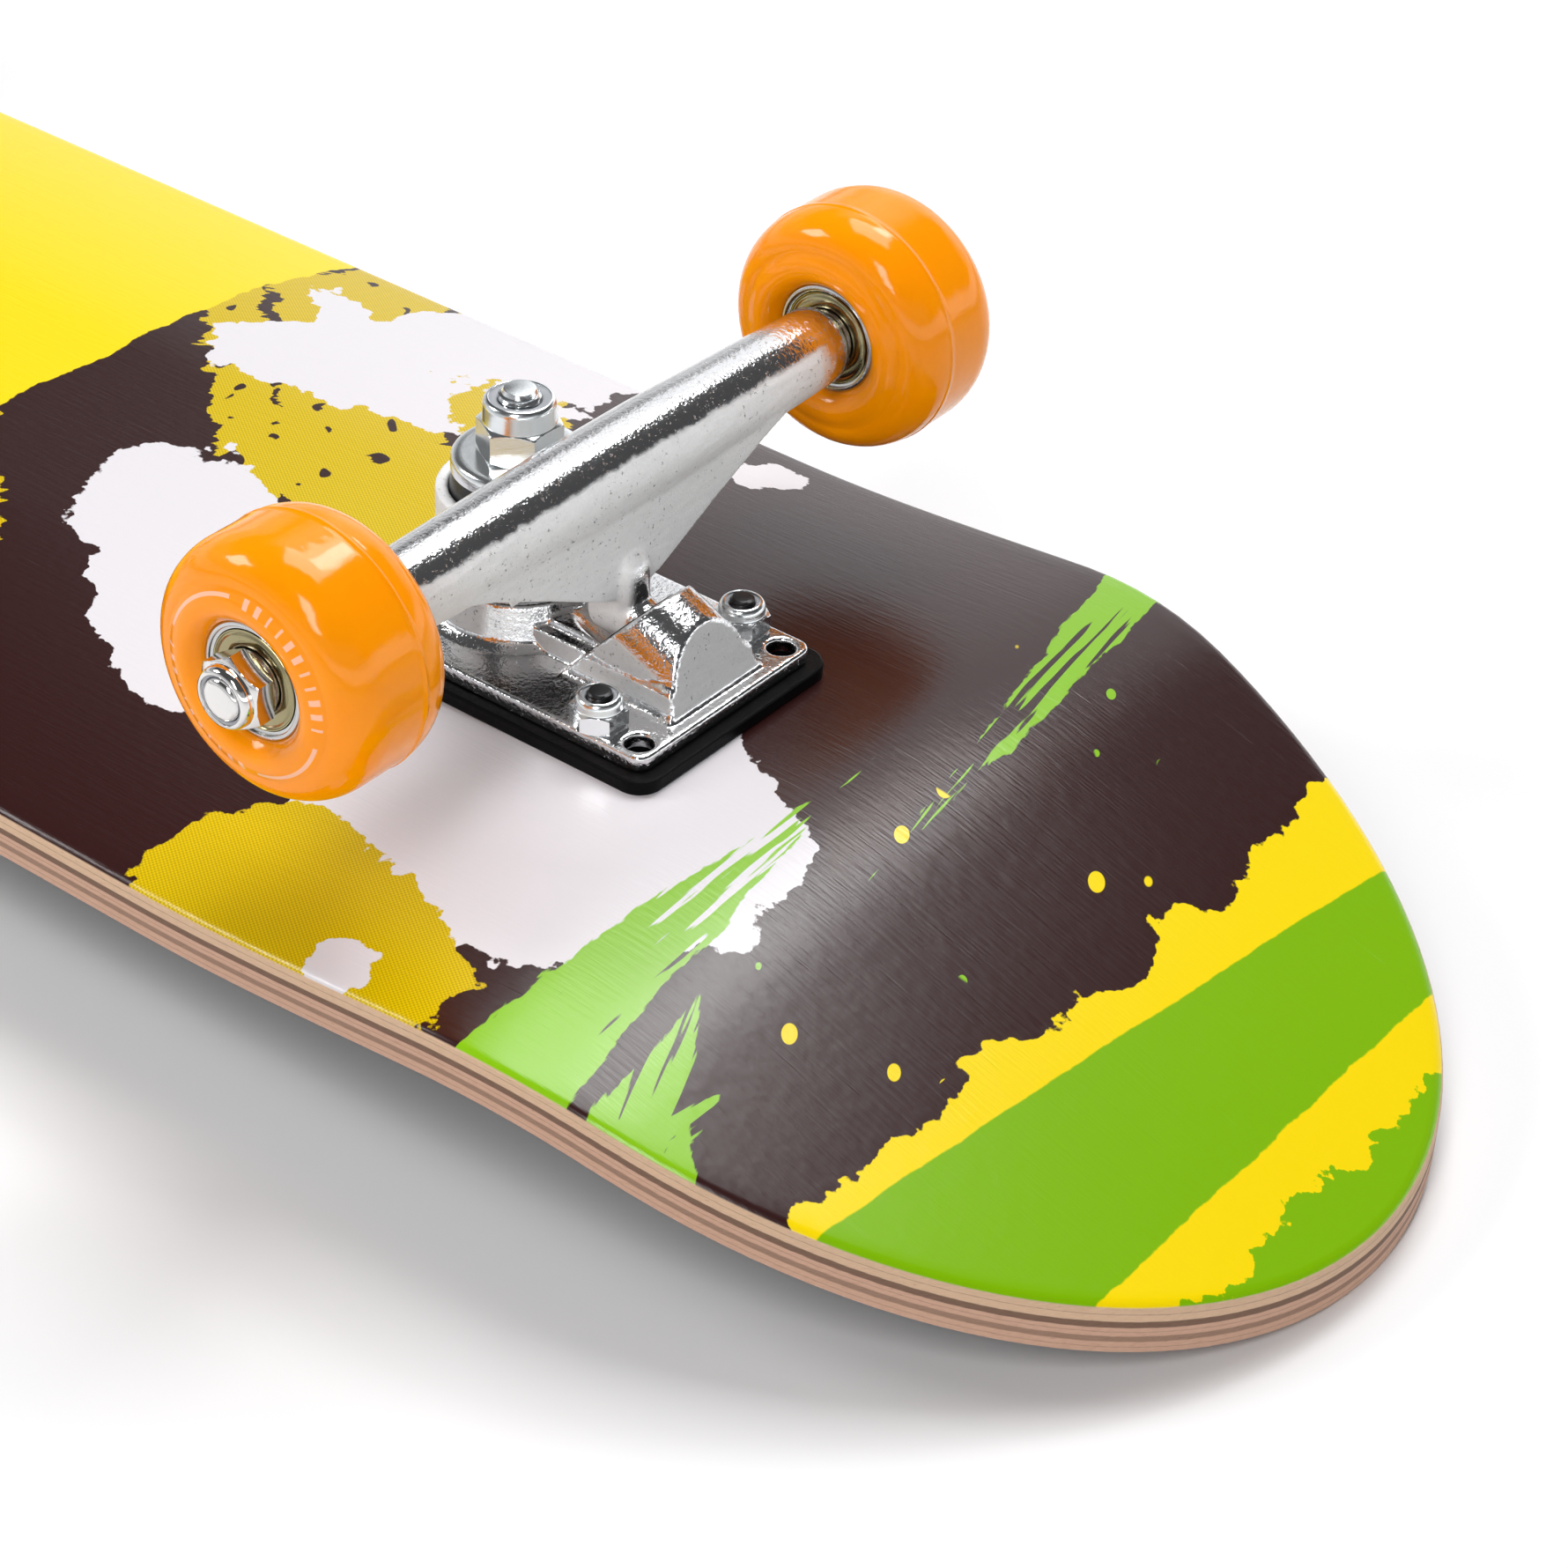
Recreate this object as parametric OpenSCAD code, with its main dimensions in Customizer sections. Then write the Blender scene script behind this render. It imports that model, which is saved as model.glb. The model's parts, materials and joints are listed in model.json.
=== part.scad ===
// Skateboard: double-kick maple deck with two kingpin trucks and four wheels.
//
// The board lies upside down, the way it rests on a table: its grip side faces the floor
// and touches it with the tips of the nose and the tail, and the wheels point up.
// X runs along the board towards the nose, Y runs across it, and Z points up.
// The origin is on the floor, under the middle of the board. All sizes are millimetres.
//
// Every physical piece is one node. Set "node" to one of the names in NODES to draw that
// piece alone, in place.
//
// How it works: each hanger turns on an inclined steering axis. Its pivot nose sits in a
// plastic cup in the baseplate, and its ring is squeezed between two rubber bushings on
// the kingpin. Each wheel runs on two 608 ball bearings on the fixed axle.

/* [Deck] */
// Length of the deck over the nose and the tail
deck_length = 780; // [700:1:850]
// Width of the deck
deck_width = 194; // [180:1:215]
// Thickness of the seven glued plies
deck_thickness = 10.6; // [9:0.1:12]
// Length of each rounded end, measured along the board
end_length = 130; // [90:1:180]
// Angle of the nose and the tail to the flat middle
kick_angle = 18; // [10:0.5:25]
// Distance from the middle of the board to the start of each kick
kick_start = 258; // [240:1:280]
// Length of the bend between the flat and the kick
kick_blend = 36; // [15:1:60]
// Height of the concave at the edge, between the trucks
concave_middle = 8.7; // [0:0.1:14]
// Height of the concave at the edge, in the nose and the tail
concave_end = 2.2; // [0:0.1:8]
// Width of the flat floor in the middle of the concave
concave_flat = 56; // [20:1:100]
// Chamfer on the edge of the deck
deck_chamfer = 1.5; // [0.5:0.1:3]
// Thickness of the grip tape with its glue
tape_thickness = 0.8; // [0.5:0.1:1.5]
// Margin between the edge of the deck and the edge of the grip tape
tape_margin = 4.5; // [4:0.1:10]

/* [Bolt pattern] */
// Distance between the inner bolts of the two trucks
wheelbase = 355.6; // [330:0.1:380]
// Distance between the two bolts across the board
bolts_across = 41.28; // [41:0.01:42]
// Distance between the inner and the outer bolts
bolts_along = 53.98; // [53:0.01:64]
// Distance between the inner bolts and the second pair of outer holes
holes_along = 63.5; // [60:0.1:64]
// Diameter of a mounting bolt
bolt_d = 4.8; // [4:0.1:6]
// Diameter of the holes in the baseplate
bolt_hole_d = 5.5; // [5:0.1:6]
// Diameter of the countersunk bolt head
bolt_head_d = 10; // [9:0.1:11]

/* [Baseplate and riser] */
// Thickness of the riser pad
riser_thickness = 3; // [1:0.1:12]
// Width of the riser pad
riser_width = 56; // [52:0.5:60]
// Thickness of the baseplate
plate_thickness = 3.2; // [2.5:0.1:6]
// Width of the baseplate
plate_width = 50.4; // [48:0.1:58]
// Distance from the end holes to the ends of the baseplate
plate_end = 4.3; // [3.5:0.1:10]
// Radius of the barrel that holds the pivot cup
pivot_housing_r = 11.4; // [9:0.1:14]
// Width of the walls below the barrel
pivot_housing_width = 24; // [20:0.5:30]
// Height of the bushing seat above the deck
kingpin_boss_height = 14.5; // [12:0.1:18]

/* [Kingpin and bushings] */
// Distance from the outermost holes to the kingpin
kingpin_setback = 46.5; // [40:0.1:52]
// Diameter of the kingpin thread and shank
kingpin_d = 8; // [8:0.1:10]
// Height of the end of the kingpin above the deck
kingpin_height = 52.4; // [48:0.1:60]
// Diameter of the bushings
bushing_d = 26; // [22:0.1:28]
// Outer diameter of the cupped washers
washer_d = 25.6; // [22:0.1:28]

/* [Hanger and axle] */
// Width of the hanger between the wheels
hanger_width = 131; // [110:0.5:160]
// Height of the axle above the deck
axle_height = 42.5; // [38:0.1:56]
// Distance from the outermost holes to the axle
axle_setback = 26.7; // [20:0.1:34]
// Diameter of the hanger tube in the middle
tube_d = 18; // [14:0.1:22]
// Diameter of the hanger tube at its ends
tube_end_d = 15.6; // [12:0.1:18]
// Diameter of the axle
axle_d = 8; // [7.9:0.1:8]
// Length of the axle
axle_length = 196; // [190:0.5:230]
// Height of the ring centre above the deck, where the steering axis crosses the kingpin
ring_height = 27; // [24:0.1:32]
// Angle of the steering axis above the deck
steer_angle = 23.7; // [15:0.1:45]
// Thickness of the hanger ring between the bushings
ring_thickness = 3.5; // [3:0.1:6]

/* [Wheels and bearings] */
// Diameter of a wheel
wheel_d = 48.8; // [45:0.1:60]
// Overall width of a wheel
wheel_width = 29; // [26:0.5:36]
// Width of the flat tread
tread_width = 9.2; // [8:0.1:24]
// Outer diameter of a bearing
bearing_od = 22; // [22:1:22]
// Bore of a bearing
bearing_id = 8; // [8:1:8]
// Width of a bearing
bearing_width = 7; // [7:1:7]
// Distance between the two bearings in a wheel
bearing_gap = 10; // [8:0.5:12]
// Thickness of a speed washer
speed_washer = 0.6; // [0.4:0.1:1]

/* [Hidden] */
$fn = 64;
// Small overlap between shapes that are joined.
eps = 0.01;

// Deck and grip tape. The nose and the tail touch the floor at z = 0.
deck_half = deck_length / 2;
straight_half = deck_half - end_length;
tip_phi = 83;
kick_slope = tan(kick_angle);
tip_x = deck_half - deck_chamfer;
glue_t = 0.3;
deck_z = kick_slope * (tip_x - kick_start - kick_blend / 2) + deck_thickness / cos(kick_angle);
grip_z = deck_z - deck_thickness;
concave_fade_start = 190;
concave_fade = 110;
concave_power = 1.7;

// Bolt pattern: distances from the outermost holes.
hole_x = wheelbase / 2 + holes_along;
bolt_y = bolts_across / 2;
bolt_xs = [bolts_along - holes_along, -holes_along];
bolt_head_h = 2.6;
bolt_end_h = 0.8;
bolt_length = deck_thickness + 11.6;

// Nuts: width across flats, height of the hexagon, diameter of the collar, full height.
deck_nut = [9.5, 3.9, 8.9, 6.2];
axle_nut = [12.7, 4.8, 11.6, 6.9];
pin_nut = [14.3, 6.8, 13.8, 11.4];

// Baseplate, with the slanted mouth and the leaning back of the pivot housing.
riser_margin = 7;
plate_top = riser_thickness + plate_thickness;
mouth_x = -25;
mouth_angle = 48.6;
housing_back_x = 1.3;
housing_lean = 16.7;
pin_head_af = 14.2;
pin_head_h = 6.3;

// Hanger, bushings and washers.
tube_r = tube_d / 2;
tube_end_r = tube_end_d / 2;
bushing_r = bushing_d / 2;
washer_r = washer_d / 2;
pin_gap = 0.15;
cup_wall = 2.4;
cup_r = bushing_r + 0.2;
ring_bottom = ring_height - ring_thickness / 2;
ring_top = ring_height + ring_thickness / 2;
cup_rim = ring_top + 3.5;
washer_t = 1.6;
washer_rim = 1.8;
washer_wall = 1.4;
board_washer_z = kingpin_boss_height;
road_washer_z = 37.6;
nut_z = road_washer_z + washer_t;

// Pivot: distances down the steering axis from the middle of the ring.
nose_r = 5;
nose_z = 37;
cup_bore_r = 5.35;
cup_outer_r = 8;
cup_top = 20;
cup_length = 24.5;

// Wheels and bearings, placed along the axle from its middle.
wheel_y = hanger_width / 2 + speed_washer + bearing_width + bearing_gap / 2;
bearing_off = bearing_gap / 2 + bearing_width / 2;
nut_y = wheel_y + bearing_off + bearing_width / 2 + speed_washer;
pitch_r = (bearing_od + bearing_id) / 4;
ball_r = 1.9;
ball_count = 7;
inner_race_r = 5.95;
outer_race_r = 9.35;
groove_r = 2;
shield_t = 0.35;

steel = "#b9bcc0";
zinc = "#c9cdd0";
cast = "#c3c5c7";
black = "#1b1b1c";
orange = "#f78c0e";

// ---------------------------------------------------------------- deck surface

// Smooth step from 0 to 1.
function smooth(t) = let (c = min(1, max(0, t))) c * c * (3 - 2 * c);

// Drop of the centre line below the flat, at distance x from the middle.
function kick_drop(x) =
  let (s = max(0, abs(x) - kick_start))
  s < kick_blend
    ? kick_slope * s * s / (2 * kick_blend)
    : kick_slope * (s - kick_blend / 2);

// Slope of the centre line.
function slope_at(x) = kick_slope * min(1, max(0, abs(x) - kick_start) / kick_blend);

// Depth of the concave at the edge.
function concave_at(x) =
  let (s = smooth((abs(x) - concave_fade_start) / concave_fade))
  concave_middle * (1 - s) + concave_end * s;

// Share of the concave at distance y from the centre line.
function bowl(y) =
  let (share = (abs(y) - concave_flat / 2) / (deck_width / 2 - concave_flat / 2))
  pow(min(1, max(0, share)), concave_power);

// Height of the graphic side, and of the grip side.
function upper(x, y) = deck_z - kick_drop(x) - concave_at(x) * bowl(y);
function lower(x, y, t) = upper(x, y) - t * sqrt(1 + slope_at(x) * slope_at(x));

// Stations along the board: [end sign, angle round the end] or a plain distance.
end_steps = 13;
mid_xs = [-240, -220, -200, -180, -120, -60, 0, 60, 120, 180, 200, 220, 240];
function end_x(phi, inset) =
  straight_half + (end_length - inset) * sin(phi) / sin(tip_phi);
function end_w(phi, inset) = (deck_width / 2 - inset) * cos(phi);
stations = concat(
  [for (i = [end_steps:-1:0]) [-1, tip_phi * i / end_steps]],
  [for (x = mid_xs) [0, x]],
  [for (i = [0:end_steps]) [1, tip_phi * i / end_steps]]
);
function st_x(s, inset) = s[0] == 0 ? s[1] : s[0] * end_x(s[1], inset);
function st_w(s, inset) = s[0] == 0 ? deck_width / 2 - inset : end_w(s[1], inset);

across = 14;
ring_n = 2 * (across + 1) + 4;

// One closed ring of points round the board: faces inset by e, edges chamfered by e.
function ring_points(s, inset, e, top_off, thick) =
  let (
    xi = st_x(s, inset + e),
    wi = st_w(s, inset + e),
    xo = st_x(s, inset),
    wo = st_w(s, inset),
    ys = [for (j = [0:across]) wi * (2 * j / across - 1)]
  )
  concat(
    [for (y = ys) [xi, y, lower(xi, y, top_off)]],
    [[xo, wo, lower(xo, wo, top_off) - e], [xo, wo, lower(xo, wo, thick) + e]],
    [for (j = [across:-1:0]) [xi, ys[j], lower(xi, ys[j], thick)]],
    [[xo, -wo, lower(xo, wo, thick) + e], [xo, -wo, lower(xo, wo, top_off) - e]]
  );

// Curved board-shaped sheet between two depths below the graphic side.
module board_sheet(inset, e, top_off, thick) {
  n = len(stations);
  pts = [for (s = stations) each ring_points(s, inset, e, top_off, thick)];
  r = ring_n;
  sides = [
    for (i = [0:n - 2])
      for (k = [0:r - 1])
        let (a = i * r + k, b = i * r + (k + 1) % r, c = a + r, d = b + r)
        each [[a, b, d], [a, d, c]]
  ];
  tr = across + 1;
  br = across + 2;
  bl = 2 * across + 4 - 1;
  lo = r - 2;
  lt = r - 1;
  cap = concat(
    [for (j = [0:across - 1]) [lt, j + 1, j]],
    [[lt, tr, across]],
    [[lt, lo, br], [lt, br, tr]],
    [for (j = [0:across - 1]) [lo, across + 4 + j, across + 3 + j]],
    [[lo, across + 3, br]]
  );
  last = (n - 1) * r;
  cap_end = [for (f = cap) [last + f[0], last + f[2], last + f[1]]];
  polyhedron(points = pts, faces = concat(sides, cap, cap_end), convexity = 6);
}

// Positions of the bolts of one truck, and of all the holes in its baseplate.
module at_bolts() {
  for (x = bolt_xs)
    for (y = [-bolt_y, bolt_y])
      translate([hole_x + x, y, 0]) children();
}

module at_holes() {
  at_bolts() children();
  for (y = [-bolt_y, bolt_y])
    translate([hole_x, y, 0]) children();
}

module deck() {
  color("#3a2626")
  difference() {
    board_sheet(0, deck_chamfer, 0, deck_thickness);
    for (side = [0, 1])
      mirror([side, 0, 0])
        at_bolts() {
          translate([0, 0, grip_z - 5]) cylinder(h = 30, d = bolt_d + 0.5);
          translate([0, 0, grip_z - 0.2])
            cylinder(h = bolt_head_h + 0.3, d1 = bolt_head_d + 0.6, d2 = bolt_d + 0.2);
        }
  }
}

// Abrasive sheet; the gap above it is its layer of glue.
module griptape() {
  color(black)
  difference() {
    board_sheet(tape_margin, 0.05, deck_thickness + glue_t, deck_thickness + tape_thickness);
    for (side = [0, 1])
      mirror([side, 0, 0])
        at_bolts()
          translate([0, 0, grip_z - 4]) cylinder(h = 8, d = bolt_head_d + 0.8);
  }
}

// ---------------------------------------------------------------- shared shapes

// Rounded plate from x0 to x1, centred across, standing on z = 0.
module rounded_plate(x0, x1, w, r, h) {
  linear_extrude(height = h) {
    translate([x0 + r, -w / 2]) square([x1 - x0 - 2 * r, w]);
    translate([x0, -w / 2 + r]) square([x1 - x0, w - 2 * r]);
    for (x = [x0 + r, x1 - r])
      for (y = [-w / 2 + r, w / 2 - r])
        translate([x, y]) circle(r = r, $fn = 32);
  }
}

// Hexagonal prism with the given width across its flats.
module hex(af, h) {
  rotate([0, 0, 30]) cylinder(h = h, d = af / cos(30), $fn = 6);
}

// Self-locking nut: hexagon with chamfered corners and a round collar.
module lock_nut(size, bore) {
  af = size[0];
  hex_h = size[1];
  collar_d = size[2];
  h = size[3];
  difference() {
    union() {
      intersection() {
        hex(af, hex_h);
        union() {
          cylinder(h = hex_h * 0.55, d1 = af * 1.04, d2 = af * 1.17);
          translate([0, 0, hex_h * 0.55 - eps])
            cylinder(h = hex_h * 0.45 + 2 * eps, d1 = af * 1.17, d2 = af * 1.0);
        }
      }
      translate([0, 0, hex_h - 0.5]) cylinder(h = h - hex_h - 0.3, d = collar_d);
      translate([0, 0, h - 0.81]) cylinder(h = 0.81, d1 = collar_d, d2 = collar_d - 1.2);
    }
    translate([0, 0, -1]) cylinder(h = h + 2, d = bore);
  }
}

// Moves to one end of the board: its own frame has the outermost holes at x = 0,
// the deck at z = 0, and the nose or tail towards +x.
module front() {
  translate([hole_x, 0, deck_z]) children();
}

module rear() {
  mirror([1, 0, 0]) front() children();
}

// Moves to the axle line, with z along it, pointing to the left of the board (+Y).
module on_axle() {
  translate([-axle_setback, 0, axle_height]) rotate([-90, 0, 0]) children();
}

// Moves to the steering axis: z runs down it, from the ring towards the pivot.
module on_steer() {
  translate([-kingpin_setback, 0, ring_height])
    rotate([0, 90 + steer_angle, 0]) children();
}

// Half space on the kingpin's side of the slanted mouth of the pivot housing.
module mouth_side(gap) {
  translate([mouth_x, 0, plate_top])
    rotate([0, 90 - mouth_angle, 0])
      translate([-80 - gap, -40, -30]) cube([80, 80, 90]);
}

// ---------------------------------------------------------------- truck, fixed pieces

module riser_pad() {
  color(black)
  difference() {
    rounded_plate(-holes_along - riser_margin, riser_margin, riser_width, 5, riser_thickness);
    translate([-hole_x, 0, -1]) at_holes() cylinder(h = 8, d = bolt_hole_d + 0.6);
  }
}

// Barrel and walls round the pivot cup.
module pivot_housing() {
  difference() {
    union() {
      on_steer() translate([0, 0, cup_top]) cylinder(h = 36, r = pivot_housing_r);
      translate([mouth_x, -pivot_housing_width / 2, riser_thickness])
        cube([26.3, pivot_housing_width, 8]);
      for (s = [0, 1])
        mirror([0, s, 0])
          translate([mouth_x, 0, riser_thickness])
            rotate([90, 0, 90])
              linear_extrude(height = 26.3)
                polygon([
                  [8, 0], [14.2, 0], [14.2, 3.2], [13.3, 3.5], [12.6, 4.4], [11.9, 6.5],
                  [11.3, 8.8], [8, 8.8]
                ]);
    }
    mouth_side(0);
    translate([housing_back_x, -30, plate_top])
      rotate([0, -housing_lean, 0])
        translate([0, 0, -20]) cube([40, 60, 80]);
    translate([-40, -30, -30]) cube([80, 60, 30 + riser_thickness + 0.5]);
    translate([0, 0, plate_top - eps])
      for (x = [0, bolt_xs[0]])
        for (y = [-bolt_y, bolt_y])
          translate([x, y, 0]) cylinder(h = 30, r = 7.4);
  }
}

module baseplate() {
  color(cast)
  difference() {
    union() {
      translate([0, 0, riser_thickness])
        rounded_plate(-holes_along - plate_end, plate_end, plate_width, 3, plate_thickness);
      pivot_housing();
      translate([-kingpin_setback, 0, plate_top - 1])
        cylinder(h = kingpin_boss_height - plate_top + 1, r1 = 17, r2 = 14.6);
      translate([-kingpin_setback, 0, plate_top - eps])
        cylinder(h = 1.6, r1 = 18.6, r2 = 16);
      translate([-kingpin_setback, -10, riser_thickness + 1]) cube([27.5, 20, 6.6]);
      translate([-kingpin_setback, -7.5, riser_thickness + 1]) cube([25.6, 15, 8]);
    }
    translate([-hole_x, 0, -1]) at_holes() cylinder(h = 9, d = bolt_hole_d);
    translate([-kingpin_setback, 0, 0]) {
      cylinder(h = 40, d = kingpin_d + 0.1);
      hex(pin_head_af + 0.3, riser_thickness + pin_head_h + 0.3);
    }
    on_steer()
      translate([0, 0, cup_top]) cylinder(h = cup_length + 0.1, r = cup_outer_r + 0.05);
  }
}

module pivot_cup() {
  color(black)
  difference() {
    on_steer() difference() {
      translate([0, 0, cup_top]) cylinder(h = cup_length, r = cup_outer_r);
      translate([0, 0, 10]) cylinder(h = nose_z - 10, r = cup_bore_r);
      translate([0, 0, nose_z]) sphere(r = cup_bore_r);
    }
    mouth_side(0.3);
    translate([-40, -20, -30]) cube([60, 40, 30 + riser_thickness + 0.1]);
  }
}

module kingpin() {
  color(zinc)
  translate([-kingpin_setback, 0, 0]) {
    translate([0, 0, riser_thickness + 0.2]) hex(pin_head_af, pin_head_h);
    translate([0, 0, riser_thickness + 1]) cylinder(h = kingpin_height - 5.2, d = kingpin_d);
    translate([0, 0, kingpin_height - 1.2 - eps])
      cylinder(h = 1.2 + eps, d1 = kingpin_d, d2 = kingpin_d - 2.2);
  }
}

module kingpin_nut() {
  color(zinc)
  translate([-kingpin_setback, 0, nut_z])
    lock_nut(pin_nut, kingpin_d + 0.1);
}

// Rubber bushing with a slight belly, between two heights. Its top is narrowed to neck_r.
module bushing(z0, z1, r, neck_r) {
  bore_r = kingpin_d / 2 + pin_gap;
  color(black)
  translate([-kingpin_setback, 0, 0])
    rotate_extrude()
      polygon([
        [bore_r, z0], [r - 1.2, z0], [r - 0.35, z0 + 0.8], [r, (z0 + z1) / 2],
        [neck_r, z1 - washer_rim - 0.4], [neck_r - 0.3, z1], [bore_r, z1]
      ]);
}

module board_bushing() {
  bushing(board_washer_z + washer_t, ring_bottom, bushing_r, bushing_r - 0.6);
}

module road_bushing() {
  bushing(ring_top, road_washer_z, bushing_r - 0.1, washer_r - washer_wall - 0.1);
}

module board_washer() {
  color(zinc)
  translate([-kingpin_setback, 0, board_washer_z])
    rotate_extrude()
      translate([kingpin_d / 2 + pin_gap, 0])
        square([washer_r - kingpin_d / 2 - pin_gap, washer_t]);
}

// Pressed washer whose rim is turned down over the neck of the road bushing.
module road_washer() {
  bore_r = kingpin_d / 2 + pin_gap;
  rim_r = washer_r - washer_wall;
  color(zinc)
  translate([-kingpin_setback, 0, road_washer_z])
    rotate_extrude()
      polygon([
        [bore_r, 0], [rim_r, 0], [rim_r, -washer_rim], [washer_r, -washer_rim],
        [washer_r, washer_t - 1.1], [washer_r - 0.35, washer_t - 0.4],
        [washer_r - 1.2, washer_t], [bore_r, washer_t]
      ]);
}

// Countersunk bolts: flush in the grip side, with their ends in the nuts.
module deck_bolts() {
  color(black)
  translate([-hole_x, 0, -deck_thickness])
    at_bolts()
      difference() {
        union() {
          cylinder(h = bolt_head_h, d1 = bolt_head_d, d2 = bolt_d);
          translate([0, 0, 1]) cylinder(h = bolt_length - 1, d = bolt_d);
          translate([0, 0, bolt_length - eps])
            cylinder(h = bolt_end_h, d1 = bolt_d, d2 = bolt_d - 1.2);
        }
        for (a = [0, 90])
          rotate([0, 0, a])
            translate([-2.4, -0.5, -1]) cube([4.8, 1, 2.4]);
      }
}

module deck_nuts() {
  color(zinc)
  translate([-hole_x, 0, plate_top])
    at_bolts() lock_nut(deck_nut, bolt_d + 0.1);
}

// ---------------------------------------------------------------- truck, turning pieces

// Web between the tube and the pivot arm, as an outline across the board.
module hanger_web() {
  translate([-axle_setback + 0.7, 0, 0])
    rotate([90, 0, 90])
      linear_extrude(height = 7)
        polygon([
          [-58, axle_height + 2.5], [-56.5, axle_height + 0.5], [-38, 35.9], [-24, 29.4],
          [-8.5, 21.6], [-5, 20.4], [5, 20.4], [8.5, 21.6], [24, 29.4], [38, 35.9],
          [56.5, axle_height + 0.5], [58, axle_height + 2.5], [40, axle_height + 4],
          [-40, axle_height + 4]
        ]);
}

// Arm that reaches back from the tube to the ring.
module hanger_yoke() {
  r = cup_r + cup_wall;
  x = -kingpin_setback;
  difference() {
    union() {
      translate([0, 0, ring_bottom])
        linear_extrude(height = cup_rim - ring_bottom) {
          translate([x, 0]) circle(r = r, $fn = 96);
          polygon([
            [x, 1.6 - r], [-axle_setback, -25], [-axle_setback, 25], [x, r - 1.6]
          ]);
        }
      translate([0, 0, cup_rim - 1])
        linear_extrude(height = 6.6)
          polygon([[-32.4, -20], [-27.4, -22.5], [-27.4, 22.5], [-32.4, 20]]);
    }
    translate([x, 0, ring_top]) cylinder(h = 30, r = cup_r, $fn = 96);
  }
}

// Arm and nose that turn in the pivot cup: two turned shapes, the arm and its rib.
module hanger_pivot() {
  nose = [for (a = [0:15:90]) [nose_r * cos(a), nose_z + nose_r * sin(a)]];
  dome = [for (a = [0:15:90]) [4.9 * cos(a), 24.5 + 4.9 * sin(a)]];
  difference() {
    union() {
      on_steer() rotate_extrude()
        polygon(concat([[0, 20.6], [7.4, 20.6], [5.2, 28.6], [nose_r, 29.4]], nose));
      difference() {
        translate([-21.3, 0, 0]) rotate_extrude()
          polygon(concat([[0, 13.2], [4.9, 13.2]], dome));
        translate([mouth_x, 0, plate_top])
          rotate([0, 90 - mouth_angle, 0])
            translate([-1.6, -40, -30]) cube([80, 80, 90]);
      }
    }
    translate([-60, -20, 0]) cube([35.2, 40, 60]);
  }
}

// Turned tube with slightly tapered ends.
module hanger_tube() {
  h = hanger_width / 2;
  on_axle() rotate_extrude()
    polygon([
      [0, -h], [tube_end_r - 1.6, -h], [tube_end_r, -h + 2.4], [tube_r, -14],
      [tube_r, 14], [tube_end_r, h - 2.4], [tube_end_r - 1.6, h], [0, h]
    ]);
}

module hanger() {
  color(cast)
  difference() {
    union() {
      difference() {
        union() {
          hanger_tube();
          hanger_web();
        }
        translate([-kingpin_setback - 10, -17, 30])
          cube([kingpin_setback + 10 - 33.1, 34, 40]);
      }
      hanger_yoke();
      hanger_pivot();
    }
    on_axle() translate([0, 0, -100]) cylinder(h = 200, d = axle_d + 0.04);
    translate([-kingpin_setback, 0, 10]) cylinder(h = 30, r = 7.5);
  }
}

module axle() {
  color(steel)
  on_axle() {
    translate([0, 0, -axle_length / 2 + 0.8]) cylinder(h = axle_length - 1.6, d = axle_d);
    for (s = [0, 1])
      mirror([0, 0, s])
        translate([0, 0, axle_length / 2 - 0.81])
          cylinder(h = 0.81, d1 = axle_d, d2 = axle_d - 1.8);
  }
}

module axle_nuts() {
  color(steel)
  on_axle()
    for (s = [0, 1])
      mirror([0, 0, s])
        translate([0, 0, nut_y]) lock_nut(axle_nut, axle_d + 0.06);
}

module speed_washers() {
  color(zinc)
  on_axle()
    for (s = [0, 1])
      mirror([0, 0, s])
        for (z = [hanger_width / 2, nut_y - speed_washer])
          translate([0, 0, z])
            difference() {
              cylinder(h = speed_washer, d = 11.4);
              translate([0, 0, -1]) cylinder(h = 3, d = axle_d + 0.1);
            }
}

// ---------------------------------------------------------------- bearings and wheels

// Places a bearing at both seats of the wheel whose centre is at z.
module at_bearings(z) {
  for (o = [-bearing_off, bearing_off])
    translate([0, 0, z + o]) children();
}

module ball_groove() {
  rotate_extrude() translate([pitch_r, 0]) circle(r = groove_r, $fn = 32);
}

module bearing_inner_races() {
  color(steel)
  on_axle()
    for (s = [-1, 1])
      at_bearings(s * wheel_y)
        difference() {
          translate([0, 0, -bearing_width / 2]) cylinder(h = bearing_width, r = inner_race_r);
          translate([0, 0, -5]) cylinder(h = 10, d = bearing_id + 0.06);
          ball_groove();
        }
}

module bearing_outer_races(s) {
  color(steel)
  on_axle()
    at_bearings(s * wheel_y)
      difference() {
        translate([0, 0, -bearing_width / 2]) cylinder(h = bearing_width, d = bearing_od);
        translate([0, 0, -5]) cylinder(h = 10, r = outer_race_r);
        ball_groove();
      }
}

module bearing_balls(s) {
  color("#d9dadb")
  on_axle()
    at_bearings(s * wheel_y)
      for (i = [0:ball_count - 1])
        rotate([0, 0, 360 * i / ball_count])
          translate([pitch_r, 0, 0]) sphere(r = ball_r, $fn = 24);
}

module bearing_cages(s) {
  color("#b08d3e")
  on_axle()
    at_bearings(s * wheel_y)
      difference() {
        translate([0, 0, -0.4]) cylinder(h = 3, r = 8.1);
        translate([0, 0, -1]) cylinder(h = 5, r = 6.9);
        for (i = [0:ball_count - 1])
          rotate([0, 0, 360 * i / ball_count])
            translate([pitch_r, 0, 0]) sphere(r = ball_r + 0.05, $fn = 24);
      }
}

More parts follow.
